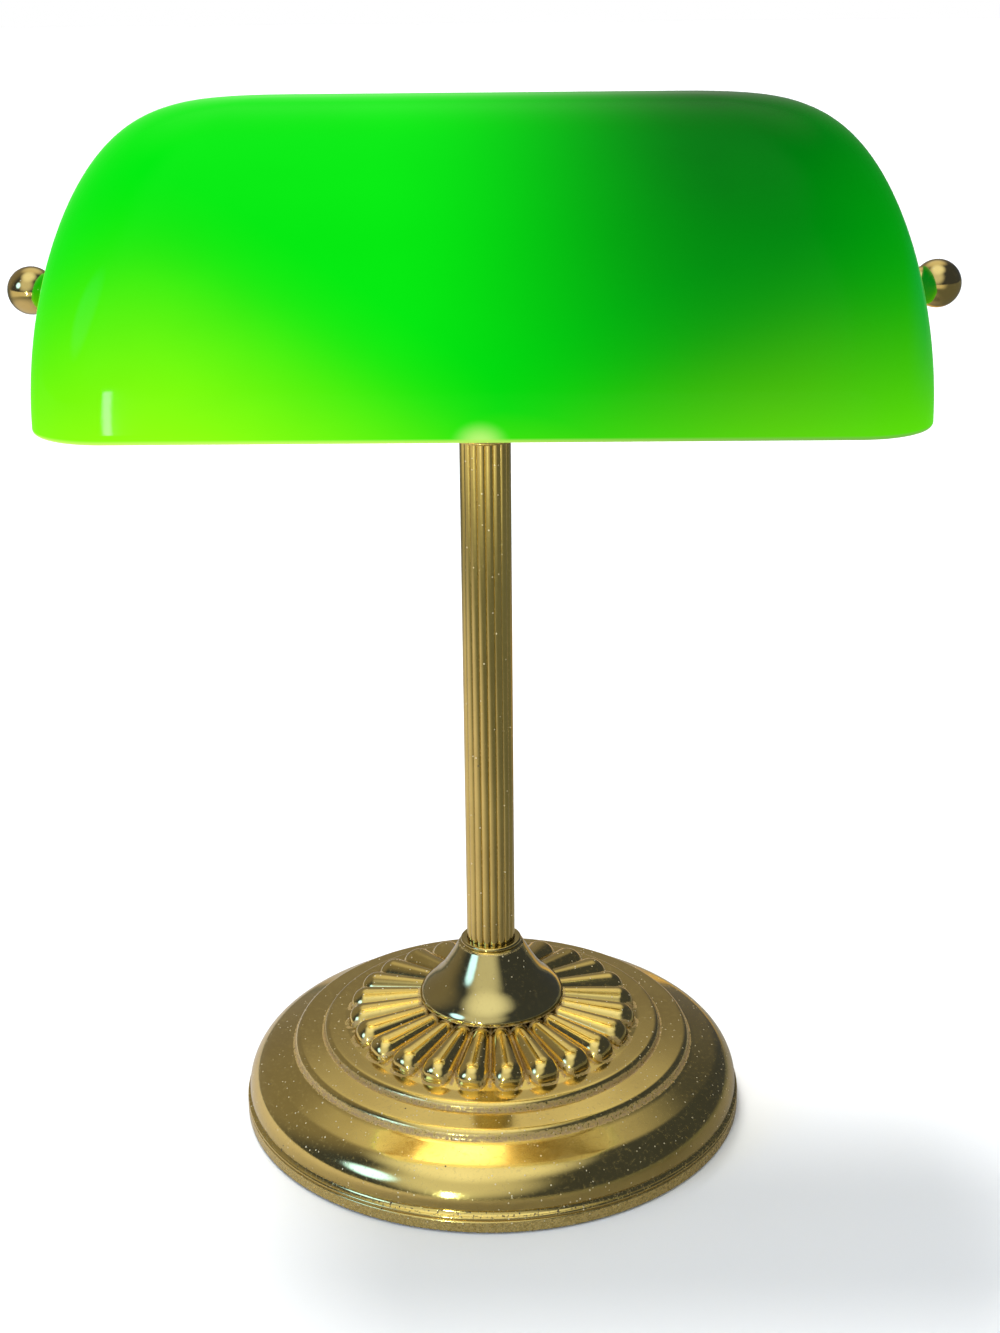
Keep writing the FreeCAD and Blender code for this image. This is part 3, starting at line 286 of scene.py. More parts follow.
def turn(outline, turns=160, stand=None):
    """Carries an outline of (radius, height) round +Z, and then moves it by the matrix stand."""
    work = bmesh.new()
    rings = []
    for radius, height in outline:
        count = 1 if radius < 1e-7 else turns
        angles = [2 * math.pi * k / turns for k in range(count)]
        ring = [(radius * math.cos(a), radius * math.sin(a), height) for a in angles]
        rings.append([work.verts.new(point) for point in ring])
    on_axis = len(rings[0]) == 1 and len(rings[-1]) == 1
    following = rings[1:] if on_axis else rings[1:] + rings[:1]
    for low, high in zip(rings, following):
        join_rings(work, low, high)
    if stand is not None:
        bmesh.ops.transform(work, matrix=stand, verts=work.verts)
    return mesh_from(work)


# %% [markdown]
# ## Shapes from Geometry Nodes
# Reeds, gadroons and threads repeat by a rule, and such a rule is what Geometry Nodes are for.
# Each tree has named inputs for its sizes. It runs once, its result becomes a plain mesh, and the
# modifier goes.

# %% Run a geometry tree once
def geometry_tree(name, sizes):
    """An empty geometry tree with a named input for each size, and those inputs as values."""
    nodes = bpy.data.node_groups.new(name, "GeometryNodeTree")
    nodes.interface.new_socket("Geometry", in_out="OUTPUT", socket_type="NodeSocketGeometry")
    for label, size in sizes.items():
        kind = "NodeSocketInt" if isinstance(size, int) else "NodeSocketFloat"
        nodes.interface.new_socket(label, in_out="INPUT", socket_type=kind)
    tree = Tree(nodes)
    entry = nodes.nodes.new("NodeGroupInput")
    return tree, {label: Value(tree, entry.outputs[label]) for label in sizes}


def run_tree(tree, geometry, material, sizes, merge=2e-6):
    """Ends the tree with real copies in place of instances, welded and with the material. Runs it
    once with the sizes, and gives the mesh that it makes."""
    geometry = tree.node("GeometryNodeRealizeInstances", None, [geometry])
    weld = {"Geometry": geometry, "Distance": merge}
    geometry = tree.node("GeometryNodeMergeByDistance", None, weld)
    finish = {"Geometry": geometry, "Material": material}
    geometry = tree.node("GeometryNodeSetMaterial", None, finish)
    leave = tree.nodes.nodes.new("NodeGroupOutput")
    tree.feed(leave.inputs[0], geometry)
    holder = bpy.data.objects.new("holder", bpy.data.meshes.new("holder"))
    bpy.context.scene.collection.objects.link(holder)
    modifier = holder.modifiers.new("rule", "NODES")
    modifier.node_group = tree.nodes
    for item in tree.nodes.interface.items_tree:
        if item.in_out == "INPUT":
            modifier[item.identifier] = sizes[item.name]
    graph = bpy.context.evaluated_depsgraph_get()
    mesh = bpy.data.meshes.new_from_object(holder.evaluated_get(graph))
    bpy.data.objects.remove(holder)
    return mesh


def outward_smooth(mesh, sharp_angle=60.0):
    """Turns the faces outward and shades them smooth, except across sharp corners."""
    work = bmesh.new()
    work.from_mesh(mesh)
    bmesh.ops.recalc_face_normals(work, faces=work.faces)
    work.to_mesh(mesh)
    work.free()
    return smooth_mesh(mesh, sharp_angle)


# %% [markdown]
# ## Brass
# The lamp's metal is old lacquered brass. It was polished once, so it mirrors the room, but the
# lacquer has dulled in clouds. Tan dust lies in the grooves, pale specks of it are scattered over
# the open surface, and dark pits show where damp got in. A mirror shows every bend of a surface,
# so the bump stays very slight. One function makes the metal, and takes how dusty a piece is and
# where its grooves are, because dirt gathers there.

# %% The brass finish
POLISHED = (0.82, 0.615, 0.19)
TARNISH = (0.50, 0.345, 0.095)
DUST = (0.42, 0.27, 0.12)
SPECK = (0.80, 0.70, 0.50)
PIT = (0.05, 0.032, 0.014)

# Noise, in clouds to the metre: dull patches, the grain of the metal, and the crumbs of the dirt.
DULL_SCALE = 38.0
GRAIN_SCALE = 900.0
CRUMB_SCALE = 1100.0

# Spots, as cells to the metre, the share of cells that hold one, and its size within the cell.
FINE_SPECKS = (1000.0, 0.08, 0.32)
LARGE_SPECKS = (480.0, 0.022, 0.20)
PITS = (600.0, 0.014, 0.22)


def brass(name, dust=1.0, grooves=None, pitted=None, gloss=0.13, tint=POLISHED):
    """Old lacquered brass. grooves and pitted give a mask from 0 to 1 for a place."""

    def spots(at, kind):
        scale, share, size = kind
        return specks(at, scale, share * dust, size)

    def vary(tree, at):
        clouds = noise(at, DULL_SCALE, 4.0).rise(0.38, 0.68)
        fine = noise(at, GRAIN_SCALE)
        pale = spots(at, FINE_SPECKS) + spots(at, LARGE_SPECKS)
        dark = spots(at, PITS)
        dirt = fine.rise(0.52, 0.78) * 0.16 * dust
        if grooves:
            dirt = dirt.most(grooves(at) * noise(at, CRUMB_SCALE).rise(0.25, 0.62))
        if pitted:
            dark = dark.most(pitted(at) * noise(at, CRUMB_SCALE).rise(0.57, 0.66))
        colour = tree.mix(clouds * 0.30, tint, TARNISH)
        colour = tree.mix(dirt, colour, DUST)
        colour = tree.mix(pale.least(1.0) * 0.8, colour, SPECK)
        colour = tree.mix(dark.least(1.0), colour, PIT)
        cover = dirt.most(pale * 0.8).most(dark).least(1.0)
        return {
            "Base Color": colour,
            "Roughness": gloss + clouds * 0.06 + fine * 0.03 + cover * 0.45,
            "Metallic": 1 - cover * 0.85,
            "Normal": bump(fine * 0.25 + pale * 0.6 - dark, 0.10, 0.2 * MM),
        }

    constants = {"Metallic": 1.0, "Coat Weight": 0.25, "Coat Roughness": 0.08}
    return new_material(name, constants, vary)


def near_circle(at, radius, width):
    """A mask that is 1 on the circle of that radius about the lamp's axis."""
    return 1 - abs(at.from_axis() - radius).rise(width * 0.25, width)


# %% [markdown]
# ## The base cover
# The cover is pressed from sheet and spun: a narrow foot band, a bead and a dark groove, a full
# round shoulder, and two flat steps with crisp creases between them. Its outline is built from the
# same radii and slopes as its solid, with more points on the round stretches and a small fillet in
# each crease, because a mirror finish shows a hard corner as a hard line.

# %% Sizes of the base
BASE_R = half_size("base_shell", "x")
FOOT_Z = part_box("base_shell")[0].z
FOOT_TOP = FOOT_Z + 4.0 * MM
BEAD_R = 0.7 * MM
GROOVE = 1.3 * MM
SHOULDER_OUT = BASE_R - 0.9 * MM
SHOULDER_R = 12.2 * MM
SHOULDER_Z = FOOT_TOP + 2 * BEAD_R + GROOVE + 0.6 * MM
SHEET = 1.2 * MM
CREASE_1 = BASE_R - 16.8 * MM
CREASE_2 = CREASE_1 - 10.0 * MM
CREASE_3 = CREASE_2 - 7.9 * MM
RISER = 0.6 * MM
FILLET = 0.25 * MM
print("base", round(2 * BASE_R / MM), "mm across")


def evenly(start, end, parts):
    """The points that split the line from start to end into equal parts, without its two ends."""
    return [tuple(a + (b - a) * k / parts for a, b in zip(start, end)) for k in range(1, parts)]


def step_after(crease_r, crease_z, round_r, slope, next_r):
    """A riser, a rounded edge and a sloping tread that ends at the next crease."""
    edge = arc((crease_r - round_r, crease_z + RISER), round_r, 0, 90 - slope, 14)
    last_r, last_z = edge[-1]
    next_z = last_z + (last_r - next_r) * math.tan(math.radians(slope))
    tread = evenly(edge[-1], (next_r + FILLET, next_z), 6)
    foot = [(next_r + 2 * FILLET, next_z), (next_r + 0.6 * FILLET, next_z + 0.3 * FILLET)]
    return edge + tread + foot, next_z


def cover_outline():
    """The cover's outside from the foot to the last crease, and the height of that crease."""
    ease = 0.25 * MM
    points = [(BASE_R - SHEET, FOOT_Z), (BASE_R - ease, FOOT_Z), (BASE_R, FOOT_Z + ease)]
    points += [(BASE_R, FOOT_TOP - BEAD_R)]
    points += arc((BASE_R - BEAD_R, FOOT_TOP - BEAD_R), BEAD_R, 12, 84, 6)
    points += arc((BASE_R - BEAD_R, FOOT_TOP + BEAD_R), BEAD_R, -78, 84, 14)
    groove_z = (FOOT_TOP + 2 * BEAD_R + SHOULDER_Z) / 2
    for inward, up in ((0.45, -0.35), (0.6, 0.1), (0.25, 0.55)):
        points.append((SHOULDER_OUT - inward * MM, groove_z + up * MM))
    points += arc((SHOULDER_OUT - SHOULDER_R, SHOULDER_Z), SHOULDER_R, 0, 68, 48)
    last_r, last_z = points[-1]
    crease_z = last_z + (last_r - CREASE_1) * math.tan(math.radians(22))
    points += evenly(points[-1], (CREASE_1, crease_z), 8)
    points += [(CREASE_1 + FILLET, crease_z)]
    first_step, crease_z = step_after(CREASE_1, crease_z, 2.5 * MM, 6, CREASE_2)
    second_step, crease_z = step_after(CREASE_2, crease_z, 2.2 * MM, 2, CREASE_3)
    return points + first_step + second_step, crease_z


# %% [markdown]
# The gadroons are a ring of tapering ribs with round tips. Each is a cone that ends in a ball, so
# a grid whose one direction runs along the rib and whose other runs round it can be bent into
# shape by a formula. One rib is made so, and instances carry it round the ring.

# %% Sizes of the gadroons
cover_points, CREASE_3_Z = cover_outline()
LOBES = 24
LOBE_SPREAD = math.pi / LOBES
LOBE_SLOPE = math.radians(11.5)
TIP_R = CREASE_3 - 0.7 * MM
WIDE_R = TIP_R / (1 + LOBE_SPREAD)
WIDE_HALF = WIDE_R * LOBE_SPREAD
WIDE_Z = CREASE_3_Z + 1.4 * MM
COLLAR_R = half_size("stem_collar", "x")
COLLAR_Z, COLLAR_TOP = (corner.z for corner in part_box("stem_collar"))
ROOT_R = COLLAR_R - 3.5 * MM
ROOT_Z = WIDE_Z + (WIDE_R - ROOT_R) * math.tan(LOBE_SLOPE)
LAND_Z = COLLAR_Z - 1.0 * MM
print(LOBES, "gadroons, at most", round(2 * WIDE_HALF / MM, 1), "mm wide")


def lobe_grooves(at):
    """1 in the valleys between the gadroons and along their tips, where dust lies."""
    away = at.from_axis()
    wave = (at.y.math("ARCTAN2", at.x) * LOBES).math("COSINE")
    inside = away.rise(ROOT_R, ROOT_R + 2 * MM) * (1 - away.rise(TIP_R - 1 * MM, TIP_R + 0.5 * MM))
    valley = wave.rise(0.90, 0.998) * inside
    across = (wave + 1) * 0.5
    scallop = WIDE_R + (TIP_R + 0.9 * MM - WIDE_R) * (1 - across ** 2.2).most(0.0) ** 0.5
    rim = 1 - abs(away - scallop).rise(0.25 * MM, 0.9 * MM)
    return valley.most(rim * 0.85)


# %% The finish of the base
def base_dust_and_foot_reflection(at):
    first = near_circle(at, CREASE_1 + 0.2 * MM, 0.8 * MM)
    second = near_circle(at, CREASE_2 + 0.2 * MM, 0.8 * MM)
    collar = near_circle(at, COLLAR_R + 0.3 * MM, 0.9 * MM)
    # The tan on the foot band is a painted reflection of the table top, laid on like dust. The
    # creases, the collar's foot and the gadroons hold real dust.
    foot = 1 - at.z.rise(FOOT_TOP - 0.9 * MM, FOOT_TOP + 0.3 * MM)
    return first.most(second).most(collar * 0.7).most(foot * 0.42).most(lobe_grooves(at))


def base_pits(at):
    """1 in a band low on the shoulder, where damp has pitted the metal."""
    return 1 - abs(at.z - (SHOULDER_Z - 1.2 * MM)).rise(0.4 * MM, 1.9 * MM)


base_brass = brass("base brass", 1.0, base_dust_and_foot_reflection, base_pits, gloss=0.075)

# %% Turn the cover
inside = [
    (WIDE_R, CREASE_3_Z + 2.3 * MM),
    (ROOT_R, LAND_Z),
    (6 * MM, LAND_Z),
    (6 * MM, LAND_Z - SHEET),
    (ROOT_R, LAND_Z - SHEET),
    (WIDE_R, CREASE_3_Z + 1.0 * MM),
    (CREASE_3, CREASE_3_Z - SHEET),
    (CREASE_1 - SHEET, CREASE_3_Z - 6 * MM - SHEET),
    (SHOULDER_OUT - 9 * MM, SHOULDER_Z + 9.5 * MM),
    (SHOULDER_OUT - 3 * MM, SHOULDER_Z + 5 * MM),
    (BASE_R - 2 * SHEET, FOOT_TOP),
    (BASE_R - SHEET, FOOT_TOP),
]
cover = turn(cover_points + inside, turns=360)
add_piece("base_cover", cover, base_brass, "stand", ["base_shell"])
print("cover outline", len(cover_points), "points, crease at", round(CREASE_3_Z / MM, 2), "mm")

# %% Grow the gadroons
ROOT_ROUND = 1.0 * MM


def gadroon_ring(material):
    """The ring of ribs. At its root each rib opens from a point over the length ROOT_ROUND."""
    tip_length = WIDE_HALF * math.pi / 2
    straight = (WIDE_R - ROOT_R) / math.cos(LOBE_SLOPE)
    sizes = {
        "Lobes": LOBES,
        "Root radius": ROOT_R,
        "Root height": ROOT_Z,
        "Root half width": ROOT_R * LOBE_SPREAD,
        "Wide half width": WIDE_HALF,
        "Straight length": straight,
        "Slope": LOBE_SLOPE,
    }
    tree, size = geometry_tree("gadroon_ring", sizes)
    along = {"Size X": 1.0, "Size Y": 1.0, "Vertices X": 61, "Vertices Y": 49}
    grid = tree.node("GeometryNodeMeshGrid", None, along)
    at = tree.node("ShaderNodeSeparateXYZ", None, [tree.node("GeometryNodeInputPosition")])
    run = (at.out("X") + 0.5) * (straight + tip_length + ROOT_ROUND)
    round_angle = (at.out("Y") + 0.5) * (2 * math.pi)
    before = ((run - ROOT_ROUND) / straight).most(0.0).least(1.0)
    tip_share = ((run - ROOT_ROUND - straight) / tip_length).most(0.0).least(1.0)
    tip_angle = tip_share * (math.pi / 2)
    half = size["Root half width"] + (size["Wide half width"] - size["Root half width"]) * before
    begin = (run / ROOT_ROUND).least(1.0)
    tip_cos = tip_angle.math("COSINE").most(0.0)
    length = before * size["Straight length"] + size["Wide half width"] * tip_angle.math("SINE")
    side = half * begin * tip_cos ** 0.62 * round_angle.math("COSINE")
    up = half * begin * tip_cos ** 0.85 * round_angle.math("SINE")
    slope_cos, slope_sin = size["Slope"].math("COSINE"), size["Slope"].math("SINE")
    out_r = size["Root radius"] + length * slope_cos + up * slope_sin
    height = size["Root height"] - length * slope_sin + up * slope_cos
    spot = tree.node("ShaderNodeCombineXYZ", None, [out_r, side, height])
    rib = tree.node("GeometryNodeSetPosition", None, {"Geometry": grid, "Position": spot})
    rib = tree.node("GeometryNodeMergeByDistance", None, {"Geometry": rib, "Distance": 2e-6})
    points = tree.node("GeometryNodePoints", None, {"Count": size["Lobes"]})
    number = tree.node("GeometryNodeInputIndex")
    angle = (number + 0.5) * (2 * math.pi) / size["Lobes"] - math.pi / 2
    facing = tree.node("ShaderNodeCombineXYZ", None, {"Z": angle})
    facing = tree.node("FunctionNodeEulerToRotation", None, [facing])
    ring = {"Points": points, "Instance": rib, "Rotation": facing}
    ring = tree.node("GeometryNodeInstanceOnPoints", None, ring)
    return run_tree(tree, ring, material, sizes)


gadroons = outward_smooth(gadroon_ring(base_brass))
add_piece("gadroon_ring", gadroons, base_brass, "stand", ["base_shell"])
print("gadroons", len(gadroons.polygons), "faces")

# %% [markdown]
# ## The collar
# Between base and column sits a trumpet of spun brass with a rolled lip. Its flare is no circle:
# it falls steeply and then runs out flat, so a smooth curve is drawn through a few points.

# %% A smooth curve through points
def between(before, here, after, beyond, t):
    """The point at the share t of the way from here to after, on a Catmull-Rom curve."""
    weights = (-t + 2 * t**2 - t**3, 2 - 5 * t**2 + 3 * t**3, t + 4 * t**2 - 3 * t**3, t**3 - t**2)
    stations = (before, here, after, beyond)
    return tuple(sum(w * p[axis] for w, p in zip(weights, stations)) / 2 for axis in range(2))


def smooth(points, steps=10):
    """Points on a smooth curve through the given ones."""
    first = tuple(2 * a - b for a, b in zip(points[0], points[1]))
    last = tuple(2 * a - b for a, b in zip(points[-1], points[-2]))
    line = [first, *points, last]
    made = []
    for k in range(1, len(line) - 2):
        made += [between(*line[k - 1:k + 3], step / steps) for step in range(steps)]
    return made + [points[-1]]


# %% Turn the collar
LIP_R = 10.0 * MM
STEM_Z, STEM_TOP = (corner.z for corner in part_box("stem_tube"))
STEM_R = 8.0 * MM
STEM_SEAT_R = STEM_R + 0.1 * MM
ROD_HOLE_R = 5 * MM


def collar_outline():
    rise = COLLAR_TOP - COLLAR_Z
    reach = COLLAR_R - LIP_R
    foot = [(COLLAR_R - 1.2 * MM, COLLAR_Z), (COLLAR_R - 0.2 * MM, COLLAR_Z)]
    flare = [
        (COLLAR_R, COLLAR_Z + 0.25 * MM),
        (COLLAR_R - 0.25 * MM, COLLAR_Z + 0.09 * rise),
        (COLLAR_R - 1.9 * MM, COLLAR_Z + 0.20 * rise),
        (LIP_R + 0.53 * reach, COLLAR_Z + 0.42 * rise),
        (LIP_R + 0.27 * reach, COLLAR_Z + 0.67 * rise),
        (LIP_R + 0.06 * reach, COLLAR_TOP - 1.9 * MM),
    ]
    lip = arc((LIP_R - 0.55 * MM, COLLAR_TOP - 0.75 * MM), 0.75 * MM, -60, 92, 12)
    seat = [(STEM_SEAT_R, COLLAR_TOP), (STEM_SEAT_R, STEM_Z), (ROD_HOLE_R, STEM_Z)]
    hollow = [
        (ROD_HOLE_R, STEM_Z - 1.2 * MM),
        (LIP_R + 0.2 * reach, STEM_Z - 5 * MM),
        (COLLAR_R - 5.5 * MM, COLLAR_Z + 4 * MM),
    ]
    return foot + smooth(flare, 12) + lip + seat + hollow


def collar_grooves(at):
    foot = 1 - (at.z - COLLAR_Z).rise(0.2 * MM, 1.0 * MM)
    lip = 1 - abs(at.z - (COLLAR_TOP - 2.0 * MM)).rise(0.05 * MM, 0.4 * MM)
    return foot.most(lip * 0.5)


collar_brass = brass("collar brass", 0.6, collar_grooves, gloss=0.06, tint=(0.64, 0.51, 0.19))
collar = turn(collar_outline(), turns=256)
add_piece("collar_trumpet", collar, collar_brass, "stand", ["stem_collar"])
print("collar", len(collar.polygons), "faces")

# %% [markdown]
# ## The reeded column
# The column is a brass tube that was drawn through a die, which left 18 round reeds side by side.
# A reed is a rule: round the tube the wall swells once for each reed. A flat grid is rolled into
# the tube, and each of its rows becomes a ring round it: up the outside, over the top and down the
# bore, so that the last row closes on the first.

# %% Roll a grid into a tube
def tube_grid(tree, columns, steps):
    """A grid to roll into a closed tube. For each of its points also the share of a turn round
    the axis, the share of the tube's length, and 1 outside or 0 in the bore."""
    rows = steps + 3
    shape = {"Size X": 1.0, "Size Y": 1.0, "Vertices X": columns + 1, "Vertices Y": rows + 1}
    grid = tree.node("GeometryNodeMeshGrid", None, shape)
    at = tree.node("ShaderNodeSeparateXYZ", None, [tree.node("GeometryNodeInputPosition")])
    turn_share = at.out("X") + 0.5
    row = ((at.out("Y") + 0.5) * rows).math("ROUND")
    outside = row.math("LESS_THAN", steps + 0.5) + row.math("GREATER_THAN", steps + 2.5)
    along = (row / steps).least(1.0) * row.math("LESS_THAN", steps + 1.5)
    return grid, turn_share, along, outside


def roll(tree, grid, turn_share, radius, height):
    """Moves each point of the grid to its turn, its radius and its height about +Z."""
    angle = (turn_share - 0.25) * (2 * math.pi)
    x, y = radius * angle.math("COSINE"), radius * angle.math("SINE")
    spot = tree.node("ShaderNodeCombineXYZ", None, [x, y, height])
    return tree.node("GeometryNodeSetPosition", None, {"Geometry": grid, "Position": spot})


# %% Grow the column
REEDS = 18
REED_DEPTH = 0.6 * MM
POINTS_PER_REED = 20


def reeded_tube(material):
    sizes = {
        "Radius": STEM_R,
        "Reed depth": REED_DEPTH,
        "Bore radius": 6.6 * MM,
        "Reeds": REEDS,
        "Bottom": STEM_Z,
        "Length": STEM_TOP - STEM_Z,
    }
    tree, size = geometry_tree("reeded_column", sizes)
    grid, turn_share, along, outside = tube_grid(tree, REEDS * POINTS_PER_REED, 10)
    across = (turn_share * size["Reeds"]).math("FRACT") * 2 - 1
    swell = (1 - across * across).most(0.0) ** 0.75
    wall = size["Radius"] - size["Reed depth"] * (1 - swell)
    radius = size["Bore radius"] + (wall - size["Bore radius"]) * outside
    tube = roll(tree, grid, turn_share, radius, size["Bottom"] + along * size["Length"])
    return run_tree(tree, tube, material, sizes)


def reed_grooves(at):
    bottom = STEM_R - REED_DEPTH
    return (1 - at.from_axis().rise(bottom - 0.02 * MM, bottom + 0.20 * MM)) * 0.4


column_brass = brass("column brass", 0.4, reed_grooves, gloss=0.05)
column = outward_smooth(reeded_tube(column_brass), 70.0)
add_piece("reeded_column", column, column_brass, "stand", ["stem_tube"])
print("column", len(column.polygons), "faces")

# %% [markdown]
# ## The cup and the ball knobs
# These are plain turned work again. The cup carries the yoke on top of the column. Each ball knob
# is turned in one piece with a neck and a flange, and screws onto a stud that comes out through
# the glass.

# %% Turn the cup
CUP_Z, CUP_TOP = (corner.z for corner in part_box("stem_cup"))
CUP_R = 14.2 * MM


def cup_outline():
    foot_r = STEM_R + 1.6 * MM
    seat_z = CUP_Z + 1.1 * MM
    foot = arc((foot_r - 0.4 * MM, CUP_Z + 0.4 * MM), 0.4 * MM, -80, 30, 6)
    bell = [
        (foot_r, CUP_Z + 0.75 * MM),
        (foot_r + 0.9 * MM, CUP_Z + 2.5 * MM),
        (foot_r + 2.7 * MM, CUP_Z + 4.3 * MM),
        (CUP_R - 0.1 * MM, CUP_TOP - 2.5 * MM),
    ]
    band = arc((CUP_R - 1.0 * MM, CUP_TOP - 1.2 * MM), 1.2 * MM, -62, 88, 14)
    top = [(ROD_HOLE_R, CUP_TOP), (ROD_HOLE_R, seat_z), (STEM_SEAT_R, seat_z)]
    return [(STEM_SEAT_R, CUP_Z)] + foot + smooth(bell) + band + top


cup_brass = brass("cup brass", 0.7, gloss=0.10)
cup = turn(cup_outline(), turns=192)
add_piece("column_cup", cup, cup_brass, "stand", ["stem_cup"])
print("cup", len(cup.polygons), "faces")

# %% Turn the ball knobs
PIVOT_Z = middle_height("ball_knob_left")
KNOB_IN, KNOB_OUT = (corner.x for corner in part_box("ball_knob_right"))
BALL_R = 7.2 * MM
STUD_HOLE_R = 2.05 * MM
STUD_HOLE_DEPTH = 7.9 * MM


def knob_outline():
    flange_r, neck_r = 6.6 * MM, 4.6 * MM
    centre = KNOB_OUT - KNOB_IN - BALL_R
    flange = [(STUD_HOLE_R, 0), (flange_r - 0.35 * MM, 0)]
    flange += arc((flange_r - 0.6 * MM, 0.6 * MM), 0.6 * MM, -70, 70, 10)
    cove = [
        (flange_r - 0.9 * MM, 1.22 * MM),
        (neck_r + 0.35 * MM, 1.6 * MM),
        (neck_r, 2.6 * MM),
        (neck_r + 0.3 * MM, 3.7 * MM),
    ]
    ball = arc((0, centre), BALL_R, -44, 90, 60)[:-1] + [(0, centre + BALL_R)]
    hole = [(0, STUD_HOLE_DEPTH), (STUD_HOLE_R, STUD_HOLE_DEPTH)]
    return flange + smooth(cove, 8) + ball + hole


def along_x(x, z, sign):
    """Turns a piece made about +Z to point along +X or -X from (x, 0, z)."""
    return Matrix.Translation((x, 0, z)) @ Matrix.Rotation(sign * math.pi / 2, 4, "Y")


def neck_grooves(at):
    """1 in the cove between the flange and the neck."""
    return 1 - abs(abs(at.x) - (KNOB_IN + 1.5 * MM)).rise(0.2 * MM, 1.2 * MM)


knob_brass = brass("knob brass", 0.25, neck_grooves, gloss=0.05, tint=(0.74, 0.55, 0.19))
for side, sign in (("left", -1), ("right", 1)):
    knob = turn(knob_outline(), turns=128, stand=along_x(sign * KNOB_IN, PIVOT_Z, sign))
    add_piece(side + "_ball", knob, knob_brass, "knob_" + side, ["ball_knob_" + side])
print("knobs reach", round(KNOB_OUT / MM, 2), "mm")

# %% [markdown]
# ## Metals, rubber, plastic and felt that don't show much
# What sits under the shade and inside the base is plain hardware: zinc-plated steel, cast iron
# under black paint, rubber, moulded plastic and felt. Each gets a simple finish with its own
# grain, so that the lamp holds up when it is turned over or taken apart.

# %% Plain finishes
def plain(name, colour, second, scale, grain, rough, stretch=None, **constants):
    """Two close colours mixed by noise of that scale, a roughness between the two of rough, and
    a fine grain of that strength in the bump. The rest is set on the shader as it stands."""

    def vary(tree, at):
        broad = noise(at, scale, 4.0, stretch).rise(0.3, 0.7)
        fine = noise(at, scale * 9, 3.0, stretch)
        return {
            "Base Color": tree.mix(broad, colour, second),
            "Roughness": rough[0] + (rough[1] - rough[0]) * broad + fine * 0.06,
            "Normal": bump(fine, grain, 0.2 * MM),
        }

    inputs = {key.replace("_", " "): value for key, value in constants.items()}
    return new_material(name, inputs, vary)


steel = plain("zinc plated steel", (0.62, 0.62, 0.60), (0.50, 0.50, 0.47),
              90.0, 0.05, (0.24, 0.40), Metallic=1.0)
iron = plain("black painted iron", (0.030, 0.030, 0.033), (0.055, 0.052, 0.050),
             160.0, 0.5, (0.5, 0.75))
rubber = plain("black rubber", (0.020, 0.020, 0.021), (0.035, 0.034, 0.033),
               220.0, 0.10, (0.6, 0.8))
felt = plain("green felt", (0.035, 0.075, 0.045), (0.06, 0.11, 0.07),
             900.0, 0.9, (0.9, 1.0), Sheen_Weight=0.2, Sheen_Roughness=0.5)
phenolic = plain("brown phenolic", (0.045, 0.022, 0.014), (0.07, 0.036, 0.022),
                 140.0, 0.04, (0.22, 0.34), Coat_Weight=0.3)
fibre = plain("fibre board", (0.36, 0.27, 0.16), (0.27, 0.19, 0.11),
              260.0, 0.35, (0.8, 0.95), stretch=(1.0, 3.0, 3.0))
black_plastic = plain("black plastic", (0.018, 0.018, 0.018), (0.028, 0.027, 0.026),
                      120.0, 0.05, (0.25, 0.38), Coat_Weight=0.2)
white_plastic = plain("white plastic", (0.72, 0.71, 0.66), (0.62, 0.60, 0.54),
                      120.0, 0.05, (0.4, 0.5))
black_lead = plain("black insulation", (0.022, 0.022, 0.023), (0.035, 0.034, 0.033),
                   150.0, 0.06, (0.4, 0.55))
white_lead = plain("white insulation", (0.66, 0.65, 0.60), (0.56, 0.54, 0.48),
                   150.0, 0.06, (0.4, 0.55))
insulator = plain("black glass", (0.012, 0.010, 0.014), (0.03, 0.02, 0.035),
                  90.0, 0.05, (0.08, 0.2), Coat_Weight=0.5)
yoke_brass = brass("yoke brass", 0.5, gloss=0.20, tint=(0.72, 0.53, 0.20))
socket_brass = brass("socket brass", 0.4, gloss=0.16, tint=(0.80, 0.62, 0.26))
print("finishes so far", len(bpy.data.materials))

# %% Dress the solids that stay
PAIRED = ("pivot_stud_", "inner_washer_", "outer_washer_", "shade_bush_")
studs, inner_washers, outer_washers, bushes = ([stem + "left", stem + "right"] for stem in PAIRED)
DRESSED = (
    (felt, ["felt_pad"]),
    (steel, ["base_plate", "base_lock_washer", "base_nut", "top_lock_washer", "top_nut"]),
    (steel, ["socket_nipple_nut", "terminal_screws", "switch_shaft"] + studs),
    (iron, ["base_weight"]),
    (rubber, ["cord_bushing", "lead_grommet"] + inner_washers + outer_washers),
    (socket_brass, ["socket_cap", "socket_shell", "centre_contact"]),
    (fibre, ["socket_liner"]),
    (phenolic, ["socket_core"]),
    (black_plastic, ["switch_knob"]),
    (white_plastic, bushes),
    (insulator, ["bulb_tip"]),
    (black_lead, ["lead_live"]),
    (white_lead, ["lead_neutral"]),
)


def dress(node, finish):
    """Gives the node's own solid the finish, in every slot that it has."""
    for material_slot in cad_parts[node].material_slots:
        material_slot.material = finish


for finish, nodes in DRESSED:
    for node in nodes:
        dress(node, finish)
print("dressed", sum(len(nodes) for finish, nodes in DRESSED), "solids")

# %% [markdown]
# ## Threads
# The hollow rod that pulls the lamp together, the nipple behind the socket, the bulb's cap and the
# socket's screw shell all carry a thread. A thread is a groove that climbs one pitch for each
# turn, so the same rolled grid serves: the wall's radius depends on the height over the pitch,
# less the turn. The rod and the nipple have a fine thread, and the lamp holder's is coarse.

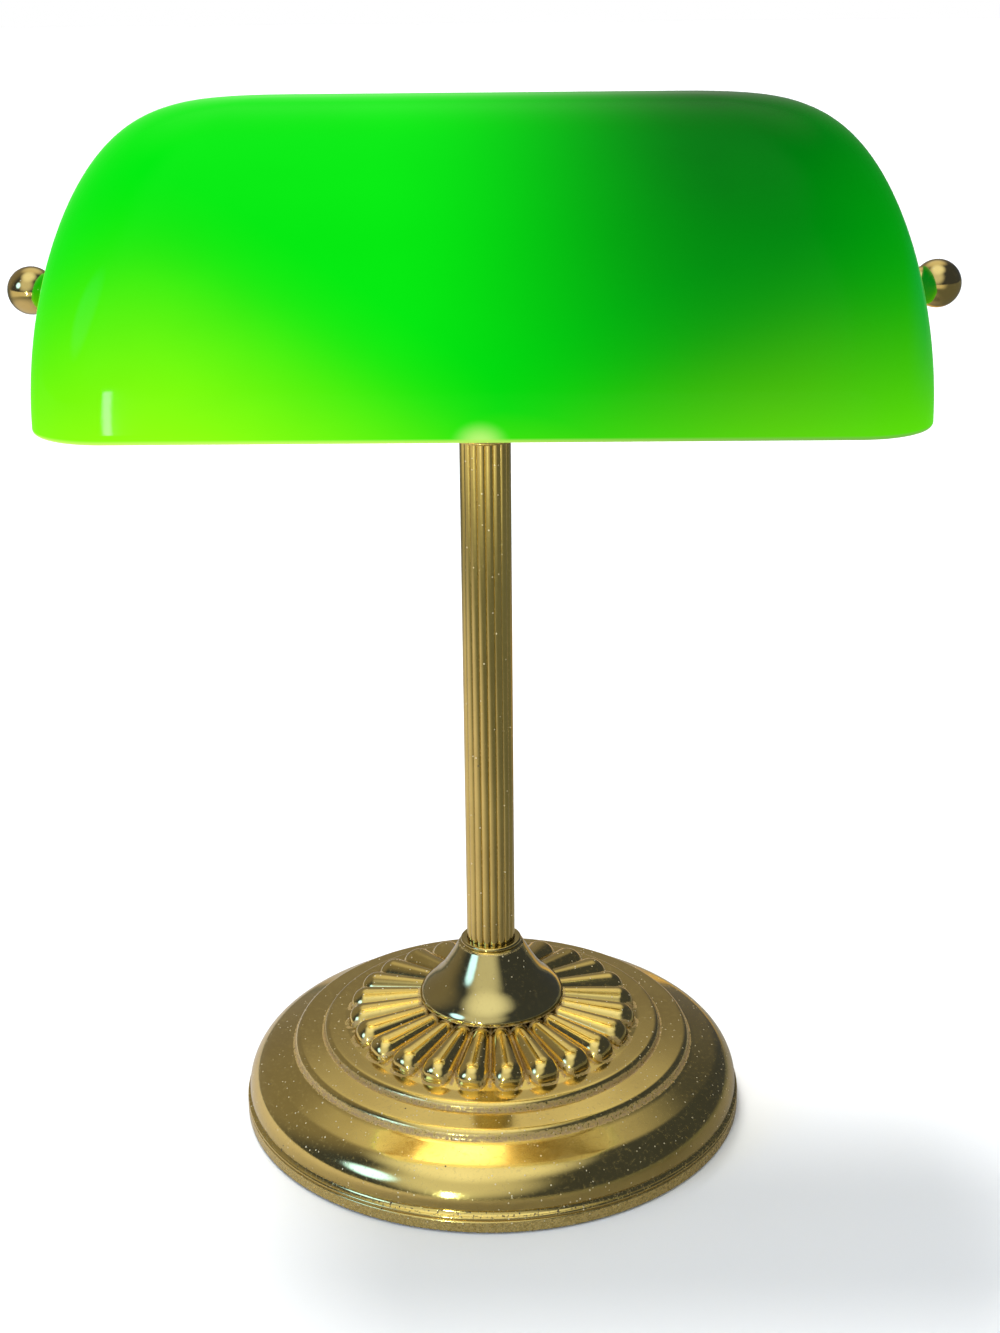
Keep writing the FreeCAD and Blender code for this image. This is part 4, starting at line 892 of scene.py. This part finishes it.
# %% Grow the threads
FINE = {"Radius": 4.9 * MM, "Bore radius": 3.3 * MM, "Depth": 0.55 * MM, "Pitch": 1.41 * MM}
COARSE = {"Depth": 0.4 * MM, "Pitch": 3.6 * MM}
THREAD_FINISH = {"steel": steel, "socket_brass": socket_brass}
LAMP_Z = middle_height("bulb_glass")
CAP_END = 1.9 * MM


def thread(name, node, slot, sizes, columns, per_pitch, stand):
    """Puts a threaded tube in the place of a node. It is made about +Z from height 0, with that
    many points to each pitch, fades out at both ends, and is moved by the matrix stand."""
    finish = THREAD_FINISH[slot]
    tree, size = geometry_tree(name, sizes)
    steps = max(4, round(sizes["Length"] / sizes["Pitch"] * per_pitch))
    grid, turn_share, along, outside = tube_grid(tree, columns, steps)
    height = along * size["Length"]
    phase = (height / size["Pitch"] - turn_share) * (2 * math.pi)
    wall = size["Radius"] - size["Depth"] * (0.5 - 0.5 * phase.math("COSINE"))
    end = along.least(1 - along).rise(0.0, 0.6 / steps * per_pitch)
    wall = wall - (1 - end) * size["Depth"] * 0.5
    radius = size["Bore radius"] + (wall - size["Bore radius"]) * outside
    mesh = run_tree(tree, roll(tree, grid, turn_share, radius, height), finish, sizes)
    mesh.transform(stand)
    add_piece(name, outward_smooth(mesh), finish, "stand", [node])
    print(name, len(mesh.polygons), "faces")


# %% Put the threads in
rod_low, rod_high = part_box("threaded_rod")
rod_sizes = {**FINE, "Length": rod_high.z - rod_low.z}
thread("rod_thread", "threaded_rod", "steel", rod_sizes, 28, 6,
       Matrix.Translation((0, 0, rod_low.z)))
nipple_low, nipple_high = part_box("socket_nipple")
nipple_sizes = {**FINE, "Bore radius": 3.4 * MM, "Length": nipple_high.x - nipple_low.x}
thread("nipple_thread", "socket_nipple", "steel", nipple_sizes, 40, 8,
       along_x(nipple_low.x, LAMP_Z, 1))
shell_low, shell_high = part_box("socket_screw_shell")
shell_sizes = {**COARSE, "Radius": 14.0 * MM, "Bore radius": 13.2 * MM,
               "Length": shell_high.x - shell_low.x}
thread("shell_thread", "socket_screw_shell", "socket_brass", shell_sizes, 96, 12,
       along_x(shell_high.x, LAMP_Z, -1))
cap_low, cap_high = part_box("bulb_cap")
cap_sizes = {**COARSE, "Radius": 13.0 * MM, "Bore radius": 12.1 * MM,
             "Length": cap_high.x - cap_low.x - CAP_END}
thread("cap_thread", "bulb_cap", "socket_brass", cap_sizes, 96, 12,
       along_x(cap_high.x - CAP_END, LAMP_Z, -1))

# %% Close the bulb's cap
cap_outline = [
    (0, 0),
    (7.8 * MM, 0),
    (12.4 * MM, 1.5 * MM),
    (12.7 * MM, 2.1 * MM),
    (12.0 * MM, 2.4 * MM),
    (7.6 * MM, 0.7 * MM),
    (0, 0.7 * MM),
]
cap_end = turn(cap_outline, turns=96, stand=along_x(cap_high.x, LAMP_Z, -1))
add_piece("cap_end", cap_end, socket_brass, "stand", ["bulb_cap"])
print("cap end", len(cap_end.polygons), "faces")

# %% [markdown]
# ## The yoke and the socket bracket
# Both are brass strip, cut, drilled and bent. Real strip has slightly rounded edges from tumbling,
# and they catch a thin line of light that a sharp edge never has. The solid's mesh is loose
# triangles, so a copy is welded, its flat faces are joined, and only then is a small bevel run
# along the sharp edges.

# %% Ease the edges of a solid
def eased(name, width):
    """A copy of the solid's mesh with its sharp edges rounded off by width."""
    work = bmesh.new()
    work.from_mesh(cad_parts[name].data)
    bmesh.ops.remove_doubles(work, verts=work.verts, dist=2e-6)
    bmesh.ops.dissolve_limit(work, verts=work.verts, edges=work.edges, delimit={"NORMAL"},
                             angle_limit=math.radians(0.6), use_dissolve_boundaries=False)
    sharp = [edge for edge in work.edges
             if len(edge.link_faces) == 2 and edge.calc_face_angle() > math.radians(35)]
    bmesh.ops.bevel(work, geom=sharp, offset=width, segments=3, profile=0.5, affect="EDGES",
                    clamp_overlap=True)
    return mesh_from(work, 30.0)


for node in ("yoke", "socket_bracket"):
    strip = eased(node, 0.35 * MM)
    add_piece(node + "_strip", strip, yoke_brass, "stand", [node])
    print(node, len(strip.polygons), "faces")

# %% [markdown]
# ## The bulb
# A tubular bulb lies along the shade. Its envelope is thin clear glass. Light that bends through
# glass is slow to render, and a wall this thin hardly bends it, so the glass is mostly
# see-through, with a gloss and a faint warm glow that stands for the light spread inside it. The
# filament is a coil of hot wire.

# %% Glass for the bulb
def glowing_glass(name, colour, alpha, glow, strength):
    """Thin glass: see-through face on, more solid at a glancing angle, with a glow."""

    def vary(tree, at):
        edge = tree.node("ShaderNodeLayerWeight", None, {"Blend": 0.35}).out("Facing")
        streaks = noise(at, 60.0, 2.0, (0.4, 1.0, 1.0))
        return {"Alpha": (alpha + edge * 0.35 + streaks * 0.05).least(1.0)}

    constants = {"Base Color": (*colour, 1.0), "Roughness": 0.04,
                 "Emission Color": (*glow, 1.0), "Emission Strength": strength}
    return new_material(name, constants, vary)


def hot_metal():
    def vary(tree, at):
        ends = noise(at, 300.0, 2.0)
        return {"Emission Color": tree.mix(ends, (1.0, 0.55, 0.18), (1.0, 0.72, 0.35))}

    constants = {"Base Color": (0.9, 0.6, 0.3, 1), "Emission Strength": 60.0}
    return new_material("hot wire", constants, vary)


bulb_glass = glowing_glass("clear bulb glass", (0.95, 0.93, 0.88), 0.30, (1.0, 0.80, 0.42), 1.8)
mount_glass = glowing_glass("mount glass", (0.85, 0.90, 0.88), 0.45, (1.0, 0.8, 0.5), 0.4)
hot_wire = hot_metal()
dress("bulb_mount", mount_glass)

# %% Turn the envelope
bulb_low, bulb_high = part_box("bulb_glass")
BULB_R = 16.0 * MM
BULB_NECK_R = 12.0 * MM
BULB_WALL = 0.8 * MM


def envelope_outline(wall):
    """One side of the envelope, from the neck to the round end, that far inside its outer face."""
    neck_r, tube_r = BULB_NECK_R - wall, BULB_R - wall
    end = bulb_high.x - bulb_low.x - wall
    shoulder = [
        (neck_r, 11.0 * MM),
        (neck_r + 0.7 * MM, 13.2 * MM),
        ((neck_r + tube_r) / 2, 16.6 * MM),
        (tube_r - 0.7 * MM, 20.0 * MM),
        (tube_r, 22.5 * MM),
    ]
    neck = [(neck_r - 2 * MM, wall), (neck_r, 2 * MM)]
    return neck + smooth(shoulder, 8) + arc((0, end - tube_r), tube_r, 0, 89, 30) + [(0, end)]


walls = envelope_outline(0.0) + envelope_outline(BULB_WALL)[::-1]
envelope = turn(walls, turns=96, stand=along_x(bulb_high.x, LAMP_Z, -1))
add_piece("bulb_envelope", envelope, bulb_glass, "stand", ["bulb_glass"])
print("envelope", len(envelope.polygons), "faces")

# %% Wind the filament
def filament_coil(material):
    wire_low, wire_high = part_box("bulb_filament")
    sizes = {
        "Coil radius": 0.24 * MM,
        "Wire radius": 0.09 * MM,
        "Length": wire_high.x - wire_low.x,
        "Pitch": 0.42 * MM,
    }
    tree, size = geometry_tree("filament_coil", sizes)
    coil = {"Resolution": 10, "Rotations": size["Length"] / size["Pitch"],
            "Start Radius": size["Coil radius"], "End Radius": size["Coil radius"],
            "Height": size["Length"]}
    line = tree.node("GeometryNodeCurveSpiral", None, coil)
    section = {"Resolution": 6, "Radius": size["Wire radius"]}
    section = tree.node("GeometryNodeCurvePrimitiveCircle", None, section)
    sweep = {"Curve": line, "Profile Curve": section, "Fill Caps": True}
    wire = tree.node("GeometryNodeCurveToMesh", None, sweep)
    mesh = run_tree(tree, wire, material, sizes, merge=1e-8)
    mesh.transform(along_x(wire_high.x, LAMP_Z, -1))
    return outward_smooth(mesh)


filament = filament_coil(hot_wire)
add_piece("filament_coil", filament, hot_wire, "stand", ["bulb_filament"])
print("filament", len(filament.polygons), "faces")

# %% [markdown]
# ## The shade
# The shade is cased glass: a thin green layer blown over white opal. The white spreads the light
# and faces the bulb, and the green is what the room sees. They are two pieces here, because each
# has its own finish. Seen along its length the glass is a rounded arch, seen from its end a softer
# one, and at each height its outline is an oblong with round corners. All three are short formulas
# of one angle, the climb, which is 0 at the rim and 90 degrees at the crest.

# %% Sizes of the shade
HALF_LENGTH = half_size("shade_glass", "x")
HALF_DEPTH = half_size("shade_glass", "y")
RIM_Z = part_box("shade_glass")[0].z
SHADE_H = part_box("shade_glass")[1].z - RIM_Z
CREST_HALF_LENGTH = 45.0 * MM
CREST_HALF_WIDTH = 5.0 * MM
CREST_ROUND = 0.92
RIM_CORNER_R = 24.0 * MM
LENGTH_BEND, DEPTH_BEND = 0.41, 0.84
WALL = 4.0 * MM
CASING = 1.7 * MM
CASING_GAP = 0.02 * MM
OUTER_ROUND, INNER_ROUND = 1.4 * MM, 0.1 * MM
print("shade", round(2 * HALF_LENGTH / MM), "mm long,", round(2 * HALF_DEPTH / MM), "mm deep")


def shade_size(climb_cos, climb_sin, inset):
    """Half length, half depth, corner radius and height of the shade's outline at a climb."""
    reach, depth = HALF_LENGTH - inset, HALF_DEPTH - inset
    half_length = CREST_HALF_LENGTH + (reach - CREST_HALF_LENGTH) * climb_cos**LENGTH_BEND
    half_depth = CREST_HALF_WIDTH + (depth - CREST_HALF_WIDTH) * climb_cos**DEPTH_BEND
    share = (RIM_CORNER_R - inset) / depth
    corner = half_depth * (share + (CREST_ROUND - share) * climb_sin**2)
    return half_length, half_depth, corner, RIM_Z + (SHADE_H - inset) * climb_sin


def even_climbs(count):
    """Climbs as (cosine, sine) whose outlines lie evenly along the glass."""
    fine = [(1 - k / 3000) ** 2.4 for k in range(3001)]
    travelled = [0.0]
    sizes = [shade_size(c, math.sqrt(1 - c * c), 0.0) for c in fine]
    for low, high in zip(sizes, sizes[1:]):
        ends, sides = math.dist(low[::3], high[::3]), math.dist(low[1::2], high[1::2])
        travelled.append(travelled[-1] + ends + sides)
    picked, at = [], 0
    for k in range(count):
        while travelled[at] < travelled[-1] * k / (count - 1) - 1e-12:
            at += 1
        picked.append((fine[at], math.sqrt(1 - fine[at] ** 2)))
    return picked


# %% An oblong ring
STRAIGHT_X, STRAIGHT_Y, BEND = 56, 22, 30


def oblong(half_length, half_depth, corner, z):
    """Points round an oblong with round corners, as many at every height."""
    x_run, y_run = half_length - corner, half_depth - corner
    points = []
    for quarter, (sx, sy) in enumerate(((1, 1), (-1, 1), (-1, -1), (1, -1))):
        for k in range(BEND + 1):
            angle = quarter * math.pi / 2 + math.pi / 2 * k / BEND
            x, y = sx * x_run + corner * math.cos(angle), sy * y_run + corner * math.sin(angle)
            points.append((x, y, z))
        if quarter % 2 == 0:
            count, step_x, step_y = STRAIGHT_X, -sx * 2 * x_run, 0
        else:
            count, step_x, step_y = STRAIGHT_Y, 0, -sy * 2 * y_run
        points += [(x + step_x * k / count, y + step_y * k / count, z) for k in range(1, count)]
    return points


# %% Build a layer of the glass
def shade_layer(outer_inset, inner_inset, outer_rows, inner_rows, outer_round, inner_round):
    """A closed layer between two insets, with its two rim edges rounded by those radii."""
    work = bmesh.new()
    rings = []

    def add_ring(climb_cos, climb_sin, inset, lift=0.0):
        *outline, z = shade_size(climb_cos, climb_sin, inset)
        rings.append([work.verts.new(point) for point in oblong(*outline, z + lift)])

    quarter_turn = [math.pi / 2 * k / 6 for k in range(7)]
    for climb in reversed(even_climbs(outer_rows)[1:]):
        add_ring(*climb, outer_inset)
    for angle in quarter_turn:
        away, lift = outer_round * (1 - math.cos(angle)), outer_round * (1 - math.sin(angle))
        add_ring(1.0, 0.0, outer_inset + away, lift)
    for angle in quarter_turn:
        away, lift = inner_round * (1 - math.sin(angle)), inner_round * (1 - math.cos(angle))
        add_ring(1.0, 0.0, inner_inset - away, lift)
    for climb in even_climbs(inner_rows)[1:]:
        add_ring(*climb, inner_inset)
    for low, high in zip(rings, rings[1:]):
        join_rings(work, low, high)
    work.faces.new(rings[0])
    work.faces.new(rings[-1])
    return mesh_from(work)


# %% [markdown]
# Each end of the glass is ground flat round the hole that the pivot goes through. A Boolean
# modifier does what the grinder does: it adds a round pad inside the wall, takes off what stands
# proud of it, and drills the hole. The cuts leave corners almost on top of each other, and these
# are welded afterwards.

# %% Grind the pivot pads
PAD_R = 9.0 * MM
PAD_CLEARANCE = 0.005 * MM
PAD_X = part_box("outer_washer_right")[0].x
HOLE_R = 4.0 * MM


def rod_x(radius, first, second):
    """A solid rod along X through the pivot, between two distances from the middle."""
    start, end = sorted((first, second))
    outline = [(0, 0), (radius, 0), (radius, end - start), (0, end - start)]
    return turn(outline, turns=96, stand=along_x(start, PIVOT_Z, 1))


def carve(mesh, operation, tool_mesh):
    """The mesh joined with, or cut by, a tool mesh. Both are closed."""
    piece = bpy.data.objects.new("carved", mesh)
    tool = bpy.data.objects.new("tool", tool_mesh)
    for made in (piece, tool):
        bpy.context.scene.collection.objects.link(made)
    cut = piece.modifiers.new("cut", "BOOLEAN")
    cut.operation, cut.object, cut.solver = operation, tool, "MANIFOLD"
    graph = bpy.context.evaluated_depsgraph_get()
    carved = bpy.data.meshes.new_from_object(piece.evaluated_get(graph))
    for made in (piece, tool):
        bpy.data.objects.remove(made)
    return carved


def with_pads(mesh, outer_x, inner_x):
    """Grinds the layer flat at both ends, between those distances from the middle, and drills
    the pivot holes."""
    beyond, within = outer_x + PAD_R, inner_x - PAD_R
    for sign in (-1, 1):
        mesh = carve(mesh, "UNION", rod_x(PAD_R, sign * inner_x, sign * outer_x))
        for start, end in ((outer_x, beyond), (within, inner_x)):
            grinder = rod_x(PAD_R + PAD_CLEARANCE, sign * start, sign * end)
            mesh = carve(mesh, "DIFFERENCE", grinder)
        mesh = carve(mesh, "DIFFERENCE", rod_x(HOLE_R, sign * within, sign * beyond))
    work = bmesh.new()
    work.from_mesh(mesh)
    bmesh.ops.remove_doubles(work, verts=work.verts, dist=3e-6)
    work.to_mesh(mesh)
    work.free()
    return smooth_mesh(mesh, 24)


# %% [markdown]
# ## The glow of the glass
# Light from the bulb comes through the white layer and leaves the green one as a saturated glow,
# brightest where the bulb is near and duller towards the crest at the socket's end. Where the
# glass is lit through its rim it turns yellow-green, in a wedge at each lower corner. Simulating
# light inside glass would be slow and grainy, so the glow is painted as emission from Object
# coordinates, and the gloss on top of it is real.

# %% The green layer's glow
GREEN = (0.0, 0.79, 0.0)
YELLOW_BY_BULB = (1.0, 1.5, 0.0)
YELLOW_BY_SOCKET = (1.0, 1.15, 0.0)
RIM_LIGHT_SPOT = (0.75, 1.0, 0.28)
BULB_END, SOCKET_END = -32 * MM, 69 * MM

# Each wedge of light: where along the lamp it is highest, its height above the rim there, how much
# it falls for each metre to either side, and its strength.
BULB_WEDGE = (-93 * MM, 56 * MM, 0.644, 6.1)
SOCKET_WEDGE = (96 * MM, 39 * MM, 0.454, 3.3)
RIM_GLOW_HEIGHT, RIM_GLOW = 10 * MM, 5.0


def glow_wedge(x, height, wedge):
    """How far a point lies under the wedge's roof line, with a soft ridge and a soft edge."""
    middle, top, fall, strength = wedge
    ridge = ((x - middle) ** 2.0 + (18 * MM) ** 2) ** 0.5 - 12 * MM
    under = top - height - fall * ridge
    return ((under + (under ** 2.0 + (9 * MM) ** 2) ** 0.5) * 0.5 - 1 * MM) * strength


def green_glow(tree, at):
    """Green by the bulb and darker by the socket, with the yellow wedges, the lit rim, and a
    painted spot of light in the middle of the rim, over the column."""
    x, height = at.x, at.z - RIM_Z
    low = 1 - height / SHADE_H
    end = x.rise(75 * MM, 125 * MM)
    level = 0.05 + 0.27 * low + 0.21 * low ** 4.0 + 0.12 * end
    to_socket = x.rise(BULB_END, SOCKET_END)
    by_socket = tree.mix(level, (0.0, 0.0, 0.0), (0.0, 1.0, 0.0))
    colour = tree.mix(to_socket, GREEN, by_socket)
    yellow = tree.mix(to_socket, YELLOW_BY_BULB, YELLOW_BY_SOCKET)
    by_bulb = glow_wedge(x, height, BULB_WEDGE)
    by_end = glow_wedge(x.least(SOCKET_WEDGE[0]), height, SOCKET_WEDGE)
    rim = (RIM_GLOW_HEIGHT - height).most(0.0) * RIM_GLOW
    colour = tree.mix(by_bulb.most(by_end).most(rim), colour, yellow)
    # The pale spot over the column is painted light.
    spot = ((x / (9 * MM)) ** 2.0 + (height / (7 * MM)) ** 2.0) ** 0.5
    return tree.mix((1 - spot.rise(0.1, 1.0)) * 0.7, colour, RIM_LIGHT_SPOT)


# %% The green layer's finish
BLOTCH = (0.0, 0.40, 0.0)
TEAL_END_REFLECTION = (0.0, 0.30, 0.10)
EDGE_BY_BULB = (0.65, 0.94, 0.14)
EDGE_BY_SOCKET = (0.20, 0.40, 0.08)


def green_glass():
    def vary(tree, at):
        blotches = noise(at, 24.0, 3.0, (0.7, 1.0, 1.0)).rise(0.25, 0.75)
        colour = tree.mix(blotches * 0.10, green_glow(tree, at), BLOTCH)
        # A painted teal reflection over the upper part of the glass's right end.
        end = at.x.rise(HALF_LENGTH - 12 * MM, HALF_LENGTH) * at.z.rise(RIM_Z, RIM_Z + 40 * MM)
        colour = tree.mix(end * 0.45, colour, TEAL_END_REFLECTION)
        edge = 1 - at.z.rise(RIM_Z + 0.5 * MM, RIM_Z + 1.6 * MM)
        pale = tree.mix(at.x.rise(-60 * MM, 110 * MM), EDGE_BY_BULB, EDGE_BY_SOCKET)
        ripple = bump(noise(at, 9.0, 2.0), 0.15, 4 * MM)
        return {"Emission Color": tree.mix(edge * 0.85, colour, pale), "Normal": ripple}

    constants = {"Base Color": (0.0, 0.05, 0.003, 1.0), "Roughness": 0.05,
                 "Emission Strength": 1.0, "Specular IOR Level": 0.03}
    return new_material("green cased glass", constants, vary)


# %% The white layer's finish
BULB_MIDDLE, BULB_REACH = -0.03, 0.11


def opal_glass():
    """White glass that is lit most round the bulb and least at the back."""
    def vary(tree, at):
        from_bulb = ((at.x - BULB_MIDDLE) / BULB_REACH) ** 2.0
        level = (1 - from_bulb * 0.7).most(0.12) * (1 - at.y.rise(-10 * MM, 50 * MM) * 0.4)
        level = level + noise(at, 30.0) * 0.08
        return {"Emission Color": tree.mix(level, (0.10, 0.08, 0.04), (1.0, 0.95, 0.60))}

    constants = {"Base Color": (0.55, 0.55, 0.50, 1.0), "Roughness": 0.18,
                 "Emission Strength": 0.50}
    return new_material("white opal glass", constants, vary)


# %% Make both layers
INNER_X = PAD_X - CASING
casing = shade_layer(0.0, CASING, 104, 26, OUTER_ROUND, INNER_ROUND)
lining = shade_layer(CASING + CASING_GAP, WALL, 26, 72, INNER_ROUND, OUTER_ROUND)
casing = with_pads(casing, PAD_X, INNER_X)
lining = with_pads(lining, INNER_X - CASING_GAP, PAD_X - WALL)
for colour, mesh, finish in (("green", casing, green_glass()), ("white", lining, opal_glass())):
    piece_name = "shade_" + colour + "_layer"
    add_piece(piece_name, mesh, finish, "shade", ["shade_glass"])
    mesh.calc_loop_triangles()
    print(piece_name, len(mesh.loop_triangles), "triangles")

# %% [markdown]
# ## The floor
# The lamp stands on a flat floor, which could be a plain pale plane. But the brass would mirror it
# as pale too, and a lamp on a desk mirrors the desk. So the floor is pale to the eye, and a tan
# table top to a ray that comes from a mirror. From below it is open, to let the felt be seen.

# %% The floor
PALE_FLOOR = ((0.86, 0.86, 0.855), (0.90, 0.90, 0.895))
TABLE_NEAR, TABLE_FAR = (0.46, 0.43, 0.43), (0.10, 0.105, 0.095)
TABLE_LEFT = (0.52, 0.49, 0.40)
TABLE_AMBER = (0.56, 0.36, 0.10)


def distance_from(at, x, y):
    return ((at.x - x) ** 2.0 + (at.y - y) ** 2.0) ** 0.5


def floor_material():
    """Pale to the eye, a tan table top to whatever mirrors it, and open from below and under the
    base, so that the lamp can be looked at from there."""
    def vary(tree, at):
        pale = tree.mix(noise(at, 3.0), *PALE_FLOOR)
        nearby = distance_from(at, -0.30, 0.0).rise(0.10, 0.60)
        table = tree.mix(nearby, TABLE_NEAR, TABLE_FAR)
        reach = (at.x ** 2.0 + at.y ** 2.0 + 0.0001) ** 0.5
        leftward = (at.x * -0.6 - at.y * 0.8) / reach
        left_share = reach.rise(0.55, 1.2) * leftward.rise(0.1, 0.75)
        table = tree.mix(left_share, table, TABLE_LEFT)
        amber_share = 1 - distance_from(at, 0.08, 0.45).rise(0.12, 0.30)
        table = tree.mix(amber_share, table, TABLE_AMBER)
        mirrored = tree.node("ShaderNodeLightPath", output="Is Glossy Ray")
        from_above = 1 - tree.node("ShaderNodeNewGeometry", output="Backfacing")
        beside_base = reach.rise(BASE_R - 1.4 * MM, BASE_R - 1.2 * MM)
        colour = tree.mix(mirrored, pale, table)
        return {"Base Color": colour, "Alpha": from_above * beside_base}

    constants = {"Roughness": 0.8, "Specular IOR Level": 0.0}
    return new_material("pale floor", constants, vary)


def sheet(half):
    """A flat square in the plane z = 0."""
    mesh = bpy.data.meshes.new("floor")
    corners = [(-half, -half, 0), (half, -half, 0), (half, half, 0), (-half, half, 0)]
    mesh.from_pydata(corners, [], [(0, 1, 2, 3)])
    return mesh


floor_mesh = sheet(30.0)
floor_mesh.materials.append(floor_material())
floor = bpy.data.objects.new("floor", floor_mesh)
bpy.context.scene.collection.objects.link(floor)
floor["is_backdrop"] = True
print("floor", floor.dimensions.x, "m wide")

# %% [markdown]
# ## The room
# Polished metal shows the room more than it shows itself, so the room matters as much as the lamps
# in it. A few walls could be modelled, but it is quicker to paint them on the world's sphere by
# direction: a dark room, a dim patch of wall behind the lamp, a pale wall in front of it, a ceiling
# that is warm behind and bright in front, and one small cool window to the left of the camera. The
# eye sees plain white instead.

# %% The room that the brass mirrors
DARK_ROOM = (0.055, 0.066, 0.10)

# Each patch: azimuth and elevation in degrees, the angle at which it has faded out, the angle
# within which it is full, and its colour. A later patch lies over an earlier one.
PATCHES = {
    "wall behind": (122, 25, 64, 30, (0.24, 0.225, 0.20)),
    "wall in front": (-106, 34, 42, 10, (0.78, 0.82, 0.82)),
    "warm ceiling": (92, 60, 34, 2, (0.85, 0.82, 0.70)),
    "bright ceiling": (-108, 76, 36, 8, (1.15, 1.22, 1.25)),
    "window": (-147, 24, 14, 6, (1.3, 2.6, 6.0)),
    "ground": (-90, -90, 88, 70, (0.6, 0.6, 0.6)),
}


def patch_share(direction, azimuth, elevation, edge, core):
    """1 within core degrees of a direction, and falling to 0 at edge degrees from it."""
    azimuth, elevation = math.radians(azimuth), math.radians(elevation)
    aim_x = math.cos(azimuth) * math.cos(elevation)
    aim_y = math.sin(azimuth) * math.cos(elevation)
    facing = direction.x * aim_x + direction.y * aim_y + direction.z * math.sin(elevation)
    return facing.rise(math.cos(math.radians(edge)), math.cos(math.radians(core)))


def room():
    world = bpy.data.worlds.new("room")
    bpy.context.scene.world = world
    world.use_nodes = True
    tree = Tree(world.node_tree)
    direction = Place(tree, "Generated")
    colour = DARK_ROOM
    for *where, patch_colour in PATCHES.values():
        colour = tree.mix(patch_share(direction, *where), colour, patch_colour)
    seen = tree.node("ShaderNodeLightPath", output="Is Camera Ray")
    colour = tree.mix(seen, colour, (1.0, 1.0, 1.0))
    tree.feed(world.node_tree.nodes["Background"].inputs["Color"], colour)


room()
print("room patches", ", ".join(PATCHES))

# %% [markdown]
# ## Light
# Two suns light the floor evenly. The key is small enough to leave a soft shadow, and the wide
# fill lifts it. Neither is mirrored, because a spot of sun would burn out the brass. A narrow strip
# does the opposite: it gives little light, and is there for the streak that it leaves in the glass.

# %% Soft studio lights
def add_light(name, kind, power, rotation, glossy, place=(0, 0, 0)):
    light = bpy.data.lights.new(name, kind)
    light.energy = power
    lamp = bpy.data.objects.new(name, light)
    lamp.location = place
    lamp.rotation_euler = rotation
    lamp.visible_glossy = glossy
    bpy.context.scene.collection.objects.link(lamp)
    return light


def add_sun(name, azimuth, elevation, spread, power):
    """A very distant light: it falls evenly on the whole floor, and spread in degrees softens
    its shadow. Nothing mirrors it."""
    rotation = (0, math.radians(90 - elevation), math.radians(azimuth))
    light = add_light(name, "SUN", power, rotation, False)
    light.angle = math.radians(spread)


def add_strip(name, place, target, size, power, colour):
    """A narrow lamp, seen as a streak in whatever mirrors it."""
    aim = (Vector(target) - Vector(place)).to_track_quat("-Z", "Y").to_euler()
    light = add_light(name, "AREA", power, aim, True, place)
    light.shape, light.size, light.size_y = "RECTANGLE", *size
    light.color = colour


add_sun("key", 125.0, 68.0, 20.0, 2.6)
add_sun("fill", -60.0, 70.0, 90.0, 1.0)
add_strip("strip", (-0.33, -1.04, 0.16), (-0.10, -0.07, 0.25), (0.022, 0.22), 2.2,
          (0.80, 1.0, 0.90))
print("lights", len(bpy.data.lights))

# %% [markdown]
# ## Camera
# The camera is set by where it stands and by three angles. Pan turns it about the vertical, tilt
# looks down, and roll leans it about its own line of sight. Its lens is given as a focal length in
# units of which the longer side of the frame has a fixed number.

# %% The camera
FOCAL, LONG_SIDE, SENSOR = 1950.0, 1333.0, 36.0
CAMERA_PLACE = (11.8 * MM, -592.4 * MM, 358.0 * MM)
PAN, TILT, ROLL = math.radians(-0.76), math.radians(18.9), math.radians(-0.57)

camera_data = bpy.data.cameras.new("camera")
camera_data.sensor_width = SENSOR
camera_data.lens = FOCAL / LONG_SIDE * SENSOR
camera_data.clip_start, camera_data.clip_end = 0.01, 50.0
level_sight = math.cos(TILT)
forward = Vector((math.sin(PAN) * level_sight, math.cos(PAN) * level_sight, -math.sin(TILT)))
level = Vector((math.cos(PAN), -math.sin(PAN), 0))
upright = level.cross(forward)
right = level * math.cos(ROLL) + upright * math.sin(ROLL)
up = upright * math.cos(ROLL) - level * math.sin(ROLL)
turned = Matrix((right, up, -forward)).transposed().to_4x4()
camera = bpy.data.objects.new("camera", camera_data)
camera.matrix_world = Matrix.Translation(CAMERA_PLACE) @ turned
bpy.context.scene.collection.objects.link(camera)
bpy.context.scene.camera = camera
bpy.context.scene.view_settings.view_transform = "Standard"
print("lens", round(camera_data.lens, 2), "mm")

# %% The sizes of the CAD and visual boxes, then the end
visual_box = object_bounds()
for label, box in (("cad", cad_box), ("visual", visual_box)):
    print(label, [[round(c, 4) for c in v] for v in box])
